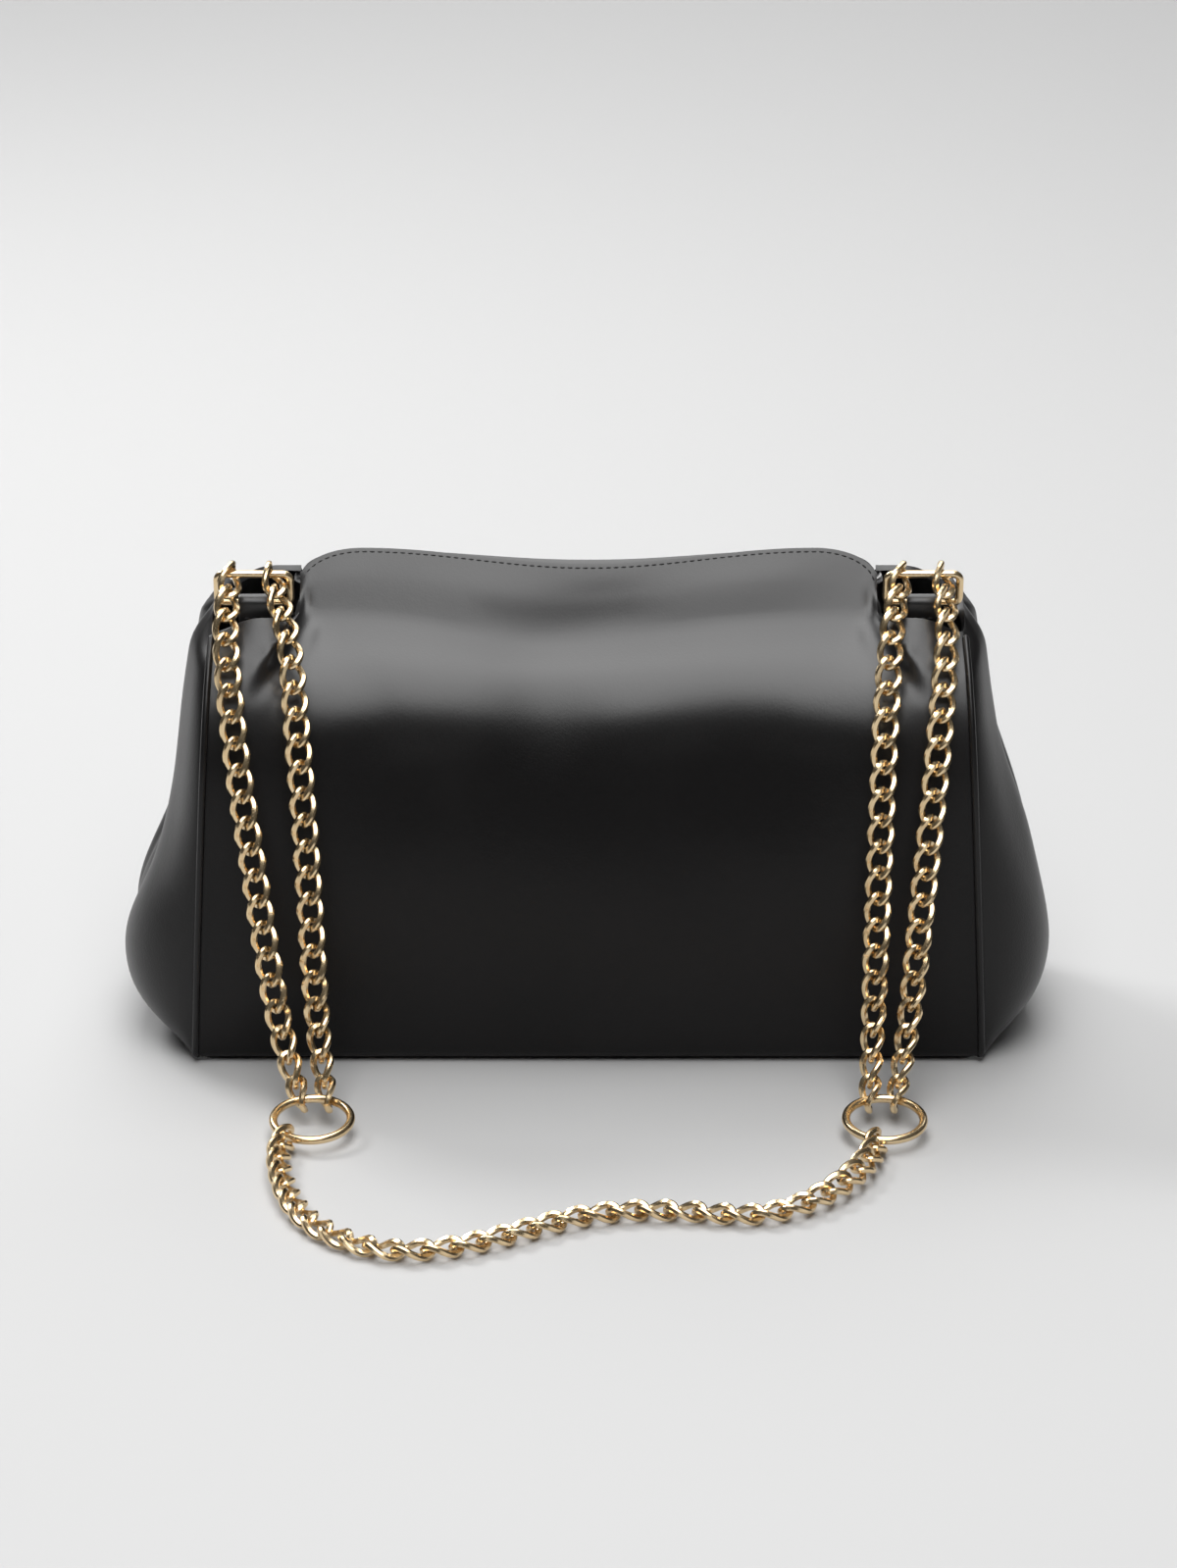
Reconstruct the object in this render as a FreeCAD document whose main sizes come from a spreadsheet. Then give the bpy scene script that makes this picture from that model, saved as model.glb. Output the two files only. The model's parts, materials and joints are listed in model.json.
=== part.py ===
"""Chain shoulder bag: a soft leather pouch with two wavy lips at its mouth and a branched curb-chain strap.

Frame: millimetres, +Z up, the origin under the middle of the base, +X to the right when the back is seen.
The back of the bag faces -Y, and the strap hangs down the back and lies on the ground behind it.
"""
import FreeCAD
import Part
import math
import os

Vector = FreeCAD.Vector
Placement = FreeCAD.Placement
Rotation = FreeCAD.Rotation

doc = FreeCAD.newDocument("chain_shoulder_bag")
sheet = doc.addObject("Spreadsheet::Sheet", "Sizes")

# Driving dimensions, in millimetres and degrees
SIZES = [
    ("top_width", 232.0, "back and front panel, seam to seam at the shoulders"),
    ("foot_width", 248.0, "back and front panel, seam to seam at the ground"),
    ("leather", 2.2, "panel and gusset leather with its backing"),
    ("fit_gap", 0.3, "clearance between sewn pieces that only touch"),
    ("base_depth", 92.0, "base panel, back to front"),
    ("base_corner", 9.0, "corner radius of the base panel"),
    ("belly_reach", 52.5, "middle plane to the fullest part of a panel"),
    ("belly_height", 45.0, "height of the fullest part"),
    ("wall_reach", 50.0, "middle plane to a panel where it starts to lean in"),
    ("wall_drop", 40.8, "from the shoulders down to where a panel starts to lean in"),
    ("bend_reach", 38.5, "middle plane to the turn of a panel below its mouth"),
    ("bend_drop", 13.0, "from the lip creases down to that turn"),
    ("mouth_width", 36.0, "between the two lip creases"),
    ("crease_drop", 6.8, "from the shoulders down to the lip creases"),
    ("upper_reach", 42.5, "middle plane to a panel below its shoulder"),
    ("upper_drop", 18.8, "from the shoulders down to that place"),
    ("shoulder_reach", 28.0, "middle plane to the shoulder's top edge"),
    ("shoulder_height", 140.8, "height of the shoulders"),
    ("foot_height", 0.4, "lower edge of the panels above the ground"),
    ("gusset_bulge", 24.5, "how far a gusset swells past the seam"),
    ("gusset_corner", 4.5, "turn of a gusset beside the seam"),
    ("gusset_tuck", 7.0, "depth of the fold down the middle of a gusset"),
    ("welt_radius", 1.1, "welt cord along each corner seam"),
    ("board_margin", 4.0, "base panel left bare round the stiffening board"),
    ("board_thickness", 1.5, "stiffening board"),
    ("lining", 0.8, "lining cloth"),
    ("lining_foot", 6.0, "lower edge of the lining above the ground"),
    ("lining_margin", 4.0, "lining set in from the panel's seams"),
    ("crease_width", 172.0, "each lip's crease, end to end"),
    ("lip_width", 181.5, "each lip, end to end"),
    ("lip_height", 26.0, "crease to the top of a lip's lobes"),
    ("lip_dip", 5.5, "how far the middle of a lip dips below its lobes"),
    ("lobe_spread", 156.0, "between the tops of the two lobes"),
    ("lip_leather", 1.8, "lip leather"),
    ("lip_meeting", 0.6, "middle plane to the nearest corner of a closed lip"),
    ("facing", 1.6, "facing sewn inside a lip"),
    ("facing_margin", 2.5, "facing set in from the lip's outline"),
    ("magnet_radius", 5.0, "hidden closing magnet"),
    ("magnet_height", 1.3, "thickness of the magnet"),
    ("magnet_drop", 12.0, "middle of the magnet below the dip"),
    ("cover_radius", 6.5, "cloth patch over the magnet"),
    ("cover_thickness", 0.5, "thickness of the patch"),
    ("loop_inset", 12.0, "from a shoulder's end to the middle of a strap loop"),
    ("loop_width", 25.0, "strap loop, outside"),
    ("loop_height", 12.6, "strap loop, outside"),
    ("loop_wire", 2.4, "wire of the strap loop"),
    ("loop_corner", 2.2, "corner radius of the loop's wire, at its middle"),
    ("loop_lean_angle", 12.0, "lean of the strap loop towards the back, in degrees"),
    ("loop_seat_rise", 2.6, "the loop's lower bar above the shoulders"),
    ("tab_inset", 1.2, "between the lining and a tab"),
    ("tab_width", 10.0, "leather tab round the loop's lower bar"),
    ("tab_leather", 1.4, "leather of the tab"),
    ("tab_length", 14.0, "tab below the loop's lower bar"),
    ("link_length", 11.2, "curb link, between the middles of its ends"),
    ("link_width", 6.6, "curb link, between the middles of its sides"),
    ("link_band", 2.0, "band of a link, across its flat"),
    ("link_thickness", 1.8, "band of a link, through its flat"),
    ("link_chamfer", 0.45, "bevel along the band's edges"),
    ("link_twist_angle", 50.0, "twist of each end of a link, in degrees"),
    ("link_pitch", 8.45, "step from link to link"),
    ("hook_inset", 2.2, "middle of an end link to the wire that it hooks"),
    ("join_radius", 11.8, "join ring, to the middle of its wire"),
    ("join_wire", 2.6, "wire of the join ring"),
    ("join_tilt_angle", 8.0, "tilt of a join ring, its bag side up, in degrees"),
    ("join_height", 5.6, "middle of a join ring above the ground"),
    ("join_reach", 105.0, "middle plane to the middle of a join ring"),
    ("chain_sweep", 83.0, "from the join rings to the far bend of the chain on the ground"),
    ("left_join_offset", 84.0, "middle of the bag to the left join ring"),
    ("right_join_offset", 90.0, "middle of the bag to the right join ring"),
]
for row, (alias, value, note) in enumerate(SIZES, start=1):
    sheet.set(f"A{row}", alias)
    sheet.set(f"B{row}", str(value))
    sheet.setAlias(f"B{row}", alias)
    sheet.set(f"C{row}", note)
doc.recompute()


def size(alias):
    """A driving dimension, read from the sheet."""
    return float(sheet.get(alias))


def bind(thing, **expressions):
    """Ties properties of a document object to cells of the sheet; a dot is written as two underscores."""
    for name, expression in expressions.items():
        thing.setExpression(name.replace("__", "."), expression)


def feature(label, shape):
    """A sub-part whose shape is set directly."""
    made = doc.addObject("Part::Feature", label)
    made.Label = label
    made.Shape = shape
    return made


parts = []
top_half = size("top_width") / 2
foot_half = size("foot_width") / 2
leather = size("leather")
fit_gap = size("fit_gap")

# Leather shells

SPLINE_SAMPLES = 7
BACK = -1
FRONT = 1


def spline(points):
    curve = Part.BSplineCurve()
    curve.interpolate(points)
    return curve


def strip(shallow, deep):
    """Closed outline between two rows of points: the section of a leather shell."""
    deep = deep[::-1]
    edges = [
        spline(shallow).toShape(),
        Part.LineSegment(shallow[-1], deep[0]).toShape(),
        spline(deep).toShape(),
        Part.LineSegment(deep[-1], shallow[0]).toShape(),
    ]
    return Part.Wire(edges)


def inward_normals(curve, at, across):
    """Unit normals of a curve at some parameters, square to it and to the direction across."""
    normals = []
    for u in at:
        tangent = curve.tangent(u)[0]
        normal = across.cross(tangent)
        normals.append(normal.normalize())
    return normals


# A panel's section changes from the middle, where it leans in to the lip's crease, to the shoulders.
foot_reach = size("base_depth") / 2 + fit_gap + leather
foot = (foot_reach, size("foot_height"))
shoulder_height = size("shoulder_height")
crease_height = shoulder_height - size("crease_drop")
belly = (size("belly_reach"), size("belly_height"))
wall = (size("wall_reach"), shoulder_height - size("wall_drop"))
bend = (size("bend_reach"), crease_height - size("bend_drop"))
crease = (size("mouth_width") / 2, crease_height)
upper = (size("upper_reach"), shoulder_height - size("upper_drop"))
shoulder = (size("shoulder_reach"), shoulder_height)
MIDDLE_SECTION = [foot, belly, wall, bend, crease]
SHOULDER_SECTION = [foot, belly, wall, upper, shoulder]


def seam_at(height):
    """Middle of the bag to a panel's side edge, at a height."""
    return foot_half + (top_half - foot_half) * height / shoulder_height


def panel_curve(middleness, x_share, margin=0):
    """Outer line of the back panel at a share of the way to its side edge, from its foot up."""
    points = []
    for middle, end in zip(MIDDLE_SECTION, SHOULDER_SECTION):
        reach = middleness * middle[0] + (1 - middleness) * end[0]
        height = middleness * middle[1] + (1 - middleness) * end[1]
        points.append(Vector(x_share * (seam_at(height) - margin), BACK * reach, height))
    return spline(points)


def parameter_at_height(curve, height):
    """Where a rising curve passes a height, by halving."""
    low, high = curve.FirstParameter, curve.LastParameter
    for _ in range(40):
        middle = (low + high) / 2
        if curve.value(middle).z < height:
            low = middle
        else:
            high = middle
    return low


lip_half = size("lip_width") / 2
SHOULDER_TURN_SHARE = 0.42
crease_share = size("crease_width") / 2 / top_half
shoulder_share = crease_share + (1 - crease_share) * SHOULDER_TURN_SHARE
STATIONS = [(-1, 0), (-shoulder_share, 0), (-crease_share, 1), (crease_share, 1), (shoulder_share, 0), (1, 0)]


def panel_shell(near, far, end_margin, low, top_share):
    """Solid between two depths inside the back panel's outer surface."""
    wires = []
    for x_share, middleness in STATIONS:
        margin = end_margin if abs(x_share) == 1 else 0
        curve = panel_curve(middleness, x_share, margin)
        first = parameter_at_height(curve, low)
        last = first + (curve.LastParameter - first) * top_share
        at = [first + (last - first) * i / (SPLINE_SAMPLES - 1) for i in range(SPLINE_SAMPLES)]
        outer = [curve.value(u) for u in at]
        rows = []
        for depth in (near, far):
            row = [p + n * depth for p, n in zip(outer, inward_normals(curve, at, Vector(-1, 0, 0)))]
            rows.append([Vector(x_share * (seam_at(p.z) - margin), p.y, p.z) for p in row])
        wires.append(strip(*rows))
    return Part.makeLoft(wires, True, True)


def mirrored_pair(stem, shape):
    """The back piece and its mirror image at the front."""
    back = feature("back_" + stem, shape)
    front = feature("front_" + stem, shape.mirror(Vector(0, 0, 0), Vector(0, 1, 0)))
    return [back, front]


parts += mirrored_pair("panel", panel_shell(0, leather, 0, size("foot_height"), 1))
LINING_TOP_SHARE = 0.93
lining_start = leather + fit_gap
lining_shell = panel_shell(
    lining_start, lining_start + size("lining"), size("lining_margin"), size("lining_foot"), LINING_TOP_SHARE)
parts += mirrored_pair("lining", lining_shell)

# Gussets: level by level, a row of points from the back seam round to the front seam
GUSSET_HEIGHT_SHARES = [0.0, 0.065, 0.16, 0.26, 0.40, 0.57, 0.76, 1.0]
GUSSET_BULGE_SHARES = [0.20, 0.64, 0.92, 1.0, 0.80, 0.50, 0.28, 0.19]
GUSSET_TUCK_SHARES = [0.0, 0.10, 0.25, 0.45, 0.80, 1.0, 1.0, 1.0]
# From beside a seam to beside the middle fold: share of the reach, of the swell and of the tuck
GUSSET_ROW_SHARES = [
    (1.0, 0.12, 0.0), (0.84, 0.55, 0.0), (0.66, 0.83, 0.0), (0.46, 0.98, 0.05), (0.2, 1.0, 0.6)]


def gusset_level(height, bulge, tuck):
    """Section of the right gusset at a height."""
    curve = panel_curve(0, 0)
    seam_place = seam_at(height) + fit_gap
    reach = -curve.value(parameter_at_height(curve, height)).y
    corner = size("gusset_corner")
    swell = max(bulge - corner, 0)
    turn = seam_place + corner
    half = [
        Vector(seam_place, -reach, height),
        Vector(seam_place + 0.65 * corner, 0.22 * corner - reach, height)]
    for y_share, swell_share, tuck_share in GUSSET_ROW_SHARES:
        y = (corner - reach) * y_share
        half.append(Vector(turn + swell * swell_share - tuck * tuck_share, y, height))
    middle = Vector(turn + swell - tuck, 0, height)
    points = half + [middle] + [Vector(p.x, -p.y, p.z) for p in reversed(half)]
    curve = spline(points)
    at = [curve.parameter(p) for p in points]
    normals = inward_normals(curve, at, Vector(0, 0, 1))
    return strip(points, [p + n * leather for p, n in zip(points, normals)])


gusset_rise = shoulder_height - size("foot_height")
gusset_wires = []
for rise, bulge, tuck in zip(GUSSET_HEIGHT_SHARES, GUSSET_BULGE_SHARES, GUSSET_TUCK_SHARES):
    height = size("foot_height") + rise * gusset_rise
    gusset_wires.append(gusset_level(height, bulge * size("gusset_bulge"), tuck * size("gusset_tuck")))
gusset = Part.makeLoft(gusset_wires, True, False)
parts.append(feature("right_gusset", gusset))
parts.append(feature("left_gusset", gusset.mirror(Vector(0, 0, 0), Vector(1, 0, 0))))

# Round stock swept along a line


def swept(line, radius, joined):
    """Round bar along a curve or along a list of edges."""
    edges = line if joined else [line.toShape()]
    start = edges[0].valueAt(edges[0].FirstParameter)
    heading = edges[0].tangentAt(edges[0].FirstParameter)
    circle = Part.makeCircle(radius, start, heading)
    return Part.Wire(edges).makePipeShell([Part.Wire([circle])], True, True)


# Welt cords, in the corner seams between the panels and the gussets


WELT_TOP_SHARE = 0.94


def welt(side):
    """Cord along the outside of a back seam, on the given side of the bag."""
    radius = size("welt_radius")
    curve = panel_curve(0, side, -fit_gap / 2)
    first = parameter_at_height(curve, size("foot_height") + radius)
    last = first + (curve.LastParameter - first) * WELT_TOP_SHARE
    at = [first + (last - first) * i / (SPLINE_SAMPLES - 1) for i in range(SPLINE_SAMPLES)]
    normals = inward_normals(curve, at, Vector(-1, 0, 0))
    line = spline([curve.value(u) - n * (radius + fit_gap / 2) for u, n in zip(at, normals)])
    return swept(line, radius, False)


left_welt = welt(-1)
right_welt = welt(1)
parts.append(feature("back_left_welt", left_welt))
parts.append(feature("back_right_welt", right_welt))
parts.append(feature("front_left_welt", left_welt.mirror(Vector(0, 0, 0), Vector(0, 1, 0))))
parts.append(feature("front_right_welt", right_welt.mirror(Vector(0, 0, 0), Vector(0, 1, 0))))


def add_line(sketch, start, end):
    sketch.addGeometry(Part.LineSegment(start, end), False)


def add_arc(sketch, centre, radius, first, last):
    """Arc of a circle, anticlockwise between two angles in degrees."""
    circle = Part.Circle(centre, Vector(0, 0, 1), radius)
    sketch.addGeometry(Part.ArcOfCircle(circle, math.radians(first), math.radians(last)), False)


def padded_body(label, draw, height):
    """A body with one sketch, drawn by a function, padded to a height from the sheet."""
    body = doc.addObject("PartDesign::Body", label)
    body.Label = label
    sketch = body.newObject("Sketcher::SketchObject", label + "_outline")
    draw(sketch)
    pad = body.newObject("PartDesign::Pad", label + "_pad")
    pad.Profile = sketch
    bind(pad, Length=height)
    sketch.Visibility = False
    return body


# Base panel and its board


def draw_base(sketch, half_x, half_y, corner):
    inner_x, inner_y = half_x - corner, half_y - corner
    add_line(sketch, Vector(-inner_x, -half_y, 0), Vector(inner_x, -half_y, 0))
    add_arc(sketch, Vector(inner_x, -inner_y, 0), corner, 270, 360)
    add_line(sketch, Vector(half_x, -inner_y, 0), Vector(half_x, inner_y, 0))
    add_arc(sketch, Vector(inner_x, inner_y, 0), corner, 0, 90)
    add_line(sketch, Vector(inner_x, half_y, 0), Vector(-inner_x, half_y, 0))
    add_arc(sketch, Vector(-inner_x, inner_y, 0), corner, 90, 180)
    add_line(sketch, Vector(-half_x, inner_y, 0), Vector(-half_x, -inner_y, 0))
    add_arc(sketch, Vector(-inner_x, -inner_y, 0), corner, 180, 270)


base_half = size("base_depth") / 2
board_margin = size("board_margin")
parts.append(padded_body(
    "base_panel",
    lambda s: draw_base(s, foot_half - fit_gap, base_half, size("base_corner")),
    "Sizes.leather"))
board = padded_body(
    "base_board",
    lambda s: draw_base(s, foot_half - board_margin, base_half - board_margin, size("base_corner")),
    "Sizes.board_thickness")
bind(board, Placement__Base__z="Sizes.leather")
parts.append(board)

# Lips: flat plates drawn from the crease up, then leaned in until they nearly meet


def draw_lip(sketch, margin):
    """Wavy outline of a lip, set in by a margin on every side but the crease."""
    half = lip_half - margin
    top = size("lip_height") - margin
    dip = size("lip_dip")
    lobe = size("lobe_spread") / 2 - margin
    corner = half - lobe
    side = top - corner
    sweep = (lobe * lobe + dip * dip) / (4 * dip)
    turn = math.degrees(math.asin(lobe / 2 / sweep))
    add_line(sketch, Vector(-half, margin, 0), Vector(half, margin, 0))
    add_line(sketch, Vector(half, margin, 0), Vector(half, side, 0))
    add_arc(sketch, Vector(lobe, side, 0), corner, 0, 90)
    add_arc(sketch, Vector(lobe, top - sweep, 0), sweep, 90, 90 + turn)
    add_arc(sketch, Vector(0, top - dip + sweep, 0), sweep, 270 - turn, 270 + turn)
    add_arc(sketch, Vector(-lobe, top - sweep, 0), sweep, 90 - turn, 90)
    add_arc(sketch, Vector(-lobe, side, 0), corner, 90, 180)
    add_line(sketch, Vector(-half, side, 0), Vector(-half, margin, 0))


lip_depth = size("lip_leather") + fit_gap + size("facing") + size("cover_thickness")
lip_span = math.hypot(size("lip_height"), lip_depth)
lip_room = size("mouth_width") / 2 - size("lip_meeting")
lip_lean = math.degrees(math.asin(lip_room / lip_span) - math.atan2(lip_depth, size("lip_height")))


def lip_place(facing_side, depth):
    """Placement of a plate drawn in X and up: its drawing's face at a depth inside the lip's outer face."""
    if facing_side == BACK:
        turn = Rotation(Vector(1, 0, 0), 90 - lip_lean)
        flip = Rotation(Vector(0, 1, 0), 180)
        rotation = turn.multiply(flip)
    else:
        turn = Rotation(Vector(1, 0, 0), 90 + lip_lean)
        rotation = turn
    seat = Vector(0, facing_side * size("mouth_width") / 2, crease_height + fit_gap)
    return Placement(seat + rotation.multVec(Vector(0, 0, depth)), rotation)


lip_top = size("lip_height") - size("lip_dip")
magnet_up = lip_top - size("magnet_drop")
facing_depth = size("lip_leather") + fit_gap
cover_depth = facing_depth + size("facing")
for stem, facing_side in (("back", BACK), ("front", FRONT)):
    lip = padded_body(stem + "_lip", lambda s: draw_lip(s, 0), "Sizes.lip_leather")
    lip.Placement = lip_place(facing_side, 0)
    facing_plate = padded_body(
        stem + "_lip_facing", lambda s: draw_lip(s, size("facing_margin")), "Sizes.facing")
    hole = facing_plate.newObject("Sketcher::SketchObject", stem + "_magnet_seat")
    seat_radius = size("magnet_radius") + fit_gap / 3
    hole.addGeometry(Part.Circle(Vector(0, magnet_up, 0), Vector(0, 0, 1), seat_radius), False)
    pocket = facing_plate.newObject("PartDesign::Pocket", stem + "_magnet_hole")
    pocket.Profile = hole
    pocket.Type = "ThroughAll"
    pocket.Midplane = True
    hole.Visibility = False
    facing_plate.Placement = lip_place(facing_side, facing_depth)
    magnet = doc.addObject("Part::Cylinder", stem + "_magnet")
    bind(magnet, Radius="Sizes.magnet_radius", Height="Sizes.magnet_height")
    cover = doc.addObject("Part::Cylinder", stem + "_magnet_cover")
    bind(cover, Radius="Sizes.cover_radius", Height="Sizes.cover_thickness")
    magnet_depth = facing_depth + (size("facing") - size("magnet_height")) / 2
    for round_piece, depth in ((magnet, magnet_depth), (cover, cover_depth)):
        place = lip_place(facing_side, depth)
        place.Base = place.Base + place.Rotation.multVec(Vector(0, magnet_up, 0))
        round_piece.Placement = place
    parts += [lip, facing_plate, magnet, cover]

# Strap loops and the leather tabs that hold them

loop_place = top_half - size("loop_inset")
loop_wire = size("loop_wire")
loop_rise = size("loop_height") - loop_wire
loop_span = size("loop_width") - loop_wire
loop_lean = math.radians(size("loop_lean_angle"))
loop_back = -math.sin(loop_lean) * loop_rise
loop_up = math.cos(loop_lean) * loop_rise
tab_bore = loop_wire / 2 + fit_gap
tab_outer = tab_bore + size("tab_leather")
shoulder_inside = size("shoulder_reach") - lining_start - size("lining") - size("tab_inset")
loop_bar = Vector(0, BACK * (shoulder_inside - tab_outer), shoulder_height + size("loop_seat_rise"))


def loop_edges(half_x, rise, corner):
    """Middle line of the loop's wire in its own plane, from the middle of its lower bar round."""
    up = [
        (Vector(0, 0, 0), Vector(half_x - corner, 0, 0)),
        (Vector(half_x, corner, 0), Vector(half_x, rise - corner, 0)),
        (Vector(half_x - corner, rise, 0), Vector(corner - half_x, rise, 0)),
        (Vector(-half_x, rise - corner, 0), Vector(-half_x, corner, 0)),
        (Vector(corner - half_x, 0, 0), Vector(0, 0, 0)),
    ]
    middles = [(half_x - corner, corner, -45), (half_x - corner, rise - corner, 45),
               (corner - half_x, rise - corner, 135), (corner - half_x, corner, 225)]
    edges = []
    for index, (start, end) in enumerate(up):
        edges.append(Part.LineSegment(start, end).toShape())
        if index < len(middles):
            x, y, angle = middles[index]
            turn = math.radians(angle)
            bulge = Vector(x + corner * math.cos(turn), y + corner * math.sin(turn), 0)
            edges.append(Part.Arc(end, bulge, up[index + 1][0]).toShape())
    return edges


loop_shape = swept(loop_edges(loop_span / 2, loop_rise, size("loop_corner")), loop_wire / 2, True)
for stem, side in (("left", -1), ("right", 1)):
    loop = feature(stem + "_strap_loop", loop_shape)
    seat = loop_bar + Vector(side * loop_place, 0, 0)
    loop.Placement = Placement(seat, Rotation(Vector(1, 0, 0), 90 + size("loop_lean_angle")))
    parts.append(loop)

for stem, side in (("left", -1), ("right", 1)):
    seat = loop_bar + Vector(side * loop_place - size("tab_width") / 2, 0, 0)
    along = Rotation(Vector(0, 1, 0), 90)
    roll = doc.addObject("Part::Cylinder", stem + "_tab_roll")
    roll.Radius = tab_outer
    bind(roll, Height="Sizes.tab_width")
    roll.Placement = Placement(seat, along)
    leg = doc.addObject("Part::Box", stem + "_tab_leg")
    bind(leg, Length="Sizes.tab_width", Width="Sizes.tab_leather", Height="Sizes.tab_length")
    leg.Placement = Placement(seat + Vector(0, -tab_outer, -size("tab_length")), Rotation())
    joined = doc.addObject("Part::Fuse", stem + "_tab_blank")
    joined.Base = roll
    joined.Tool = leg
    bore = doc.addObject("Part::Cylinder", stem + "_tab_bore")
    bore.Radius = tab_bore
    bore.Height = size("tab_width") * 2
    bore.Placement = Placement(seat - Vector(size("tab_width") / 2, 0, 0), along)
    tab = doc.addObject("Part::Cut", stem + "_tab")
    tab.Base = joined
    tab.Tool = bore
    parts.append(tab)

# Join rings

join_radius = size("join_radius")
join_centres = {}
for stem, place in (("left", -size("left_join_offset")), ("right", size("right_join_offset"))):
    ring = doc.addObject("Part::Torus", stem + "_join_ring")
    bind(ring, Radius1="Sizes.join_radius", Radius2="Sizes.join_wire / 2")
    centre = Vector(place, BACK * size("join_reach"), size("join_height"))
    ring.Placement = Placement(centre, Rotation(Vector(1, 0, 0), size("join_tilt_angle")))
    join_centres[stem] = centre
    parts.append(ring)


def on_join_ring(stem, angle):
    """Middle and heading of a join ring's wire at an angle round it, 90 being the side towards the bag."""
    turn = math.radians(angle)
    tilt = Rotation(Vector(1, 0, 0), size("join_tilt_angle"))
    out = tilt.multVec(Vector(math.cos(turn), math.sin(turn), 0))
    heading = tilt.multVec(Vector(-math.sin(turn), math.cos(turn), 0))
    return join_centres[stem] + out * join_radius, heading


# Curb links

LINK_SECTIONS = 16
link_half = size("link_length") / 2
link_side = size("link_width") / 2
link_twist = math.radians(size("link_twist_angle"))


def link_centre(turn):
    """Middle of a link's band at an angle round it; its two ends are twisted opposite ways."""
    twist = link_twist * math.cos(turn)
    across = link_side * math.sin(turn)
    return Vector(link_half * math.cos(turn), across * math.cos(twist), across * math.sin(twist))


def curb_link():
    wires = []
    half_band = size("link_band") / 2
    half_thick = size("link_thickness") / 2
    bevel = size("link_chamfer")
    small_turn = math.pi / 10000
    for index in range(LINK_SECTIONS):
        turn = 2 * math.pi * index / LINK_SECTIONS
        twist = link_twist * math.cos(turn)
        tangent = link_centre(turn + small_turn) - link_centre(turn - small_turn)
        tangent.normalize()
        normal = Vector(0, -math.sin(twist), math.cos(twist))
        normal = normal - tangent * normal.dot(tangent)
        normal.normalize()
        out = tangent.cross(normal)
        corners = [(half_band, bevel - half_thick), (half_band, half_thick - bevel),
                   (half_band - bevel, half_thick), (bevel - half_band, half_thick),
                   (-half_band, half_thick - bevel), (-half_band, bevel - half_thick),
                   (bevel - half_band, -half_thick), (half_band - bevel, -half_thick)]
        ring = [link_centre(turn) + out * u + normal * v for u, v in corners]
        wires.append(Part.makePolygon(ring + [ring[0]]))
    return Part.makeLoft(wires, True, False, True)


LINK = curb_link()


BAR_HOOK_ANGLE = 48
RING_HOOK_ANGLE = 58
ROLL_STEP = 8


def half_turned(angle):
    """The same angle less whole half turns, between minus and plus a quarter turn."""
    return (angle + 90) % 180 - 90


def chain(route, outward, start_wire, end_wire, start_angle, end_angle):
    """Links along a route from one wire to another.

    The route is a row of points; outward gives the side that the flat of the links faces.
    The links at each end are rolled step by step until their opening stands across the wire that they hook.
    """
    edge = spline(route).toShape()
    inset = size("hook_inset")
    run = edge.Length - 2 * inset
    steps = math.ceil(run / size("link_pitch"))
    frames = []
    for index in range(steps + 1):
        place = edge.getParameterByLength(inset + run * index / steps)
        along = edge.tangentAt(place)
        face = outward - along * outward.dot(along)
        face.normalize()
        frames.append((edge.valueAt(place), along, face.cross(along), face))

    def wire_angle(frame, wire):
        return math.degrees(math.atan2(wire.dot(frame[3]), wire.dot(frame[2])))

    start_roll = half_turned(wire_angle(frames[0], start_wire) - start_angle)
    end_roll = half_turned(wire_angle(frames[-1], end_wire) + end_angle)
    links = []
    for index, (middle, along, side, face) in enumerate(frames):
        from_start = math.copysign(max(abs(start_roll) - ROLL_STEP * index, 0), start_roll)
        from_end = math.copysign(max(abs(end_roll) - ROLL_STEP * (steps - index), 0), end_roll)
        rolled = Rotation(Vector(1, 0, 0), from_start + from_end)
        link = LINK.copy()
        link.Placement = Placement(middle, Rotation(along, side, face, "XZY").multiply(rolled))
        links.append(link)
    return links


loop_top = loop_bar + Vector(0, loop_back, loop_up)
# Name, side, share of the loop's span from its middle, angle on the ring, shares of the loop's place
STRANDS = [
    ("left_outer_strand", -1, -0.30, 110, [1.073, 1.075, 1.068, 1.053, 1.031, 0.999, 0.962, 0.918]),
    ("left_inner_strand", -1, 0.25, 70, [0.922, 0.898, 0.878, 0.864, 0.849, 0.834, 0.820, 0.803]),
    ("right_inner_strand", 1, -0.30, 110, [0.919, 0.903, 0.890, 0.879, 0.870, 0.862, 0.854, 0.844]),
    ("right_outer_strand", 1, 0.25, 70, [1.061, 1.063, 1.056, 1.042, 1.025, 1.004, 0.979, 0.950]),
]
# Down a strand: share of the way out from the loop to the ring, and of the way down
STRAND_SHARES = [
    (0.092, 0.044), (0.184, 0.089), (0.291, 0.153), (0.398, 0.242), (0.491, 0.365), (0.561, 0.522),
    (0.640, 0.700), (0.768, 0.861)]
for label, side, span_share, angle, place_shares in STRANDS:
    start = loop_top + Vector(side * loop_place + span_share * loop_span, 0, 0)
    end = on_join_ring("left" if side < 0 else "right", angle)[0]
    between = []
    for place_share, (out_share, down_share) in zip(place_shares, STRAND_SHARES):
        y = start.y + (end.y - start.y) * out_share
        z = start.z + (end.z - start.z) * down_share
        between.append(Vector(side * loop_place * place_share, y, z))
    links = chain([start] + between + [end], Vector(0, -1, 0), Vector(1, 0, 0), Vector(1, 0, 0),
                  BAR_HOOK_ANGLE, RING_HOOK_ANGLE)
    parts.append(feature(label, Part.Compound(links)))

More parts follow.
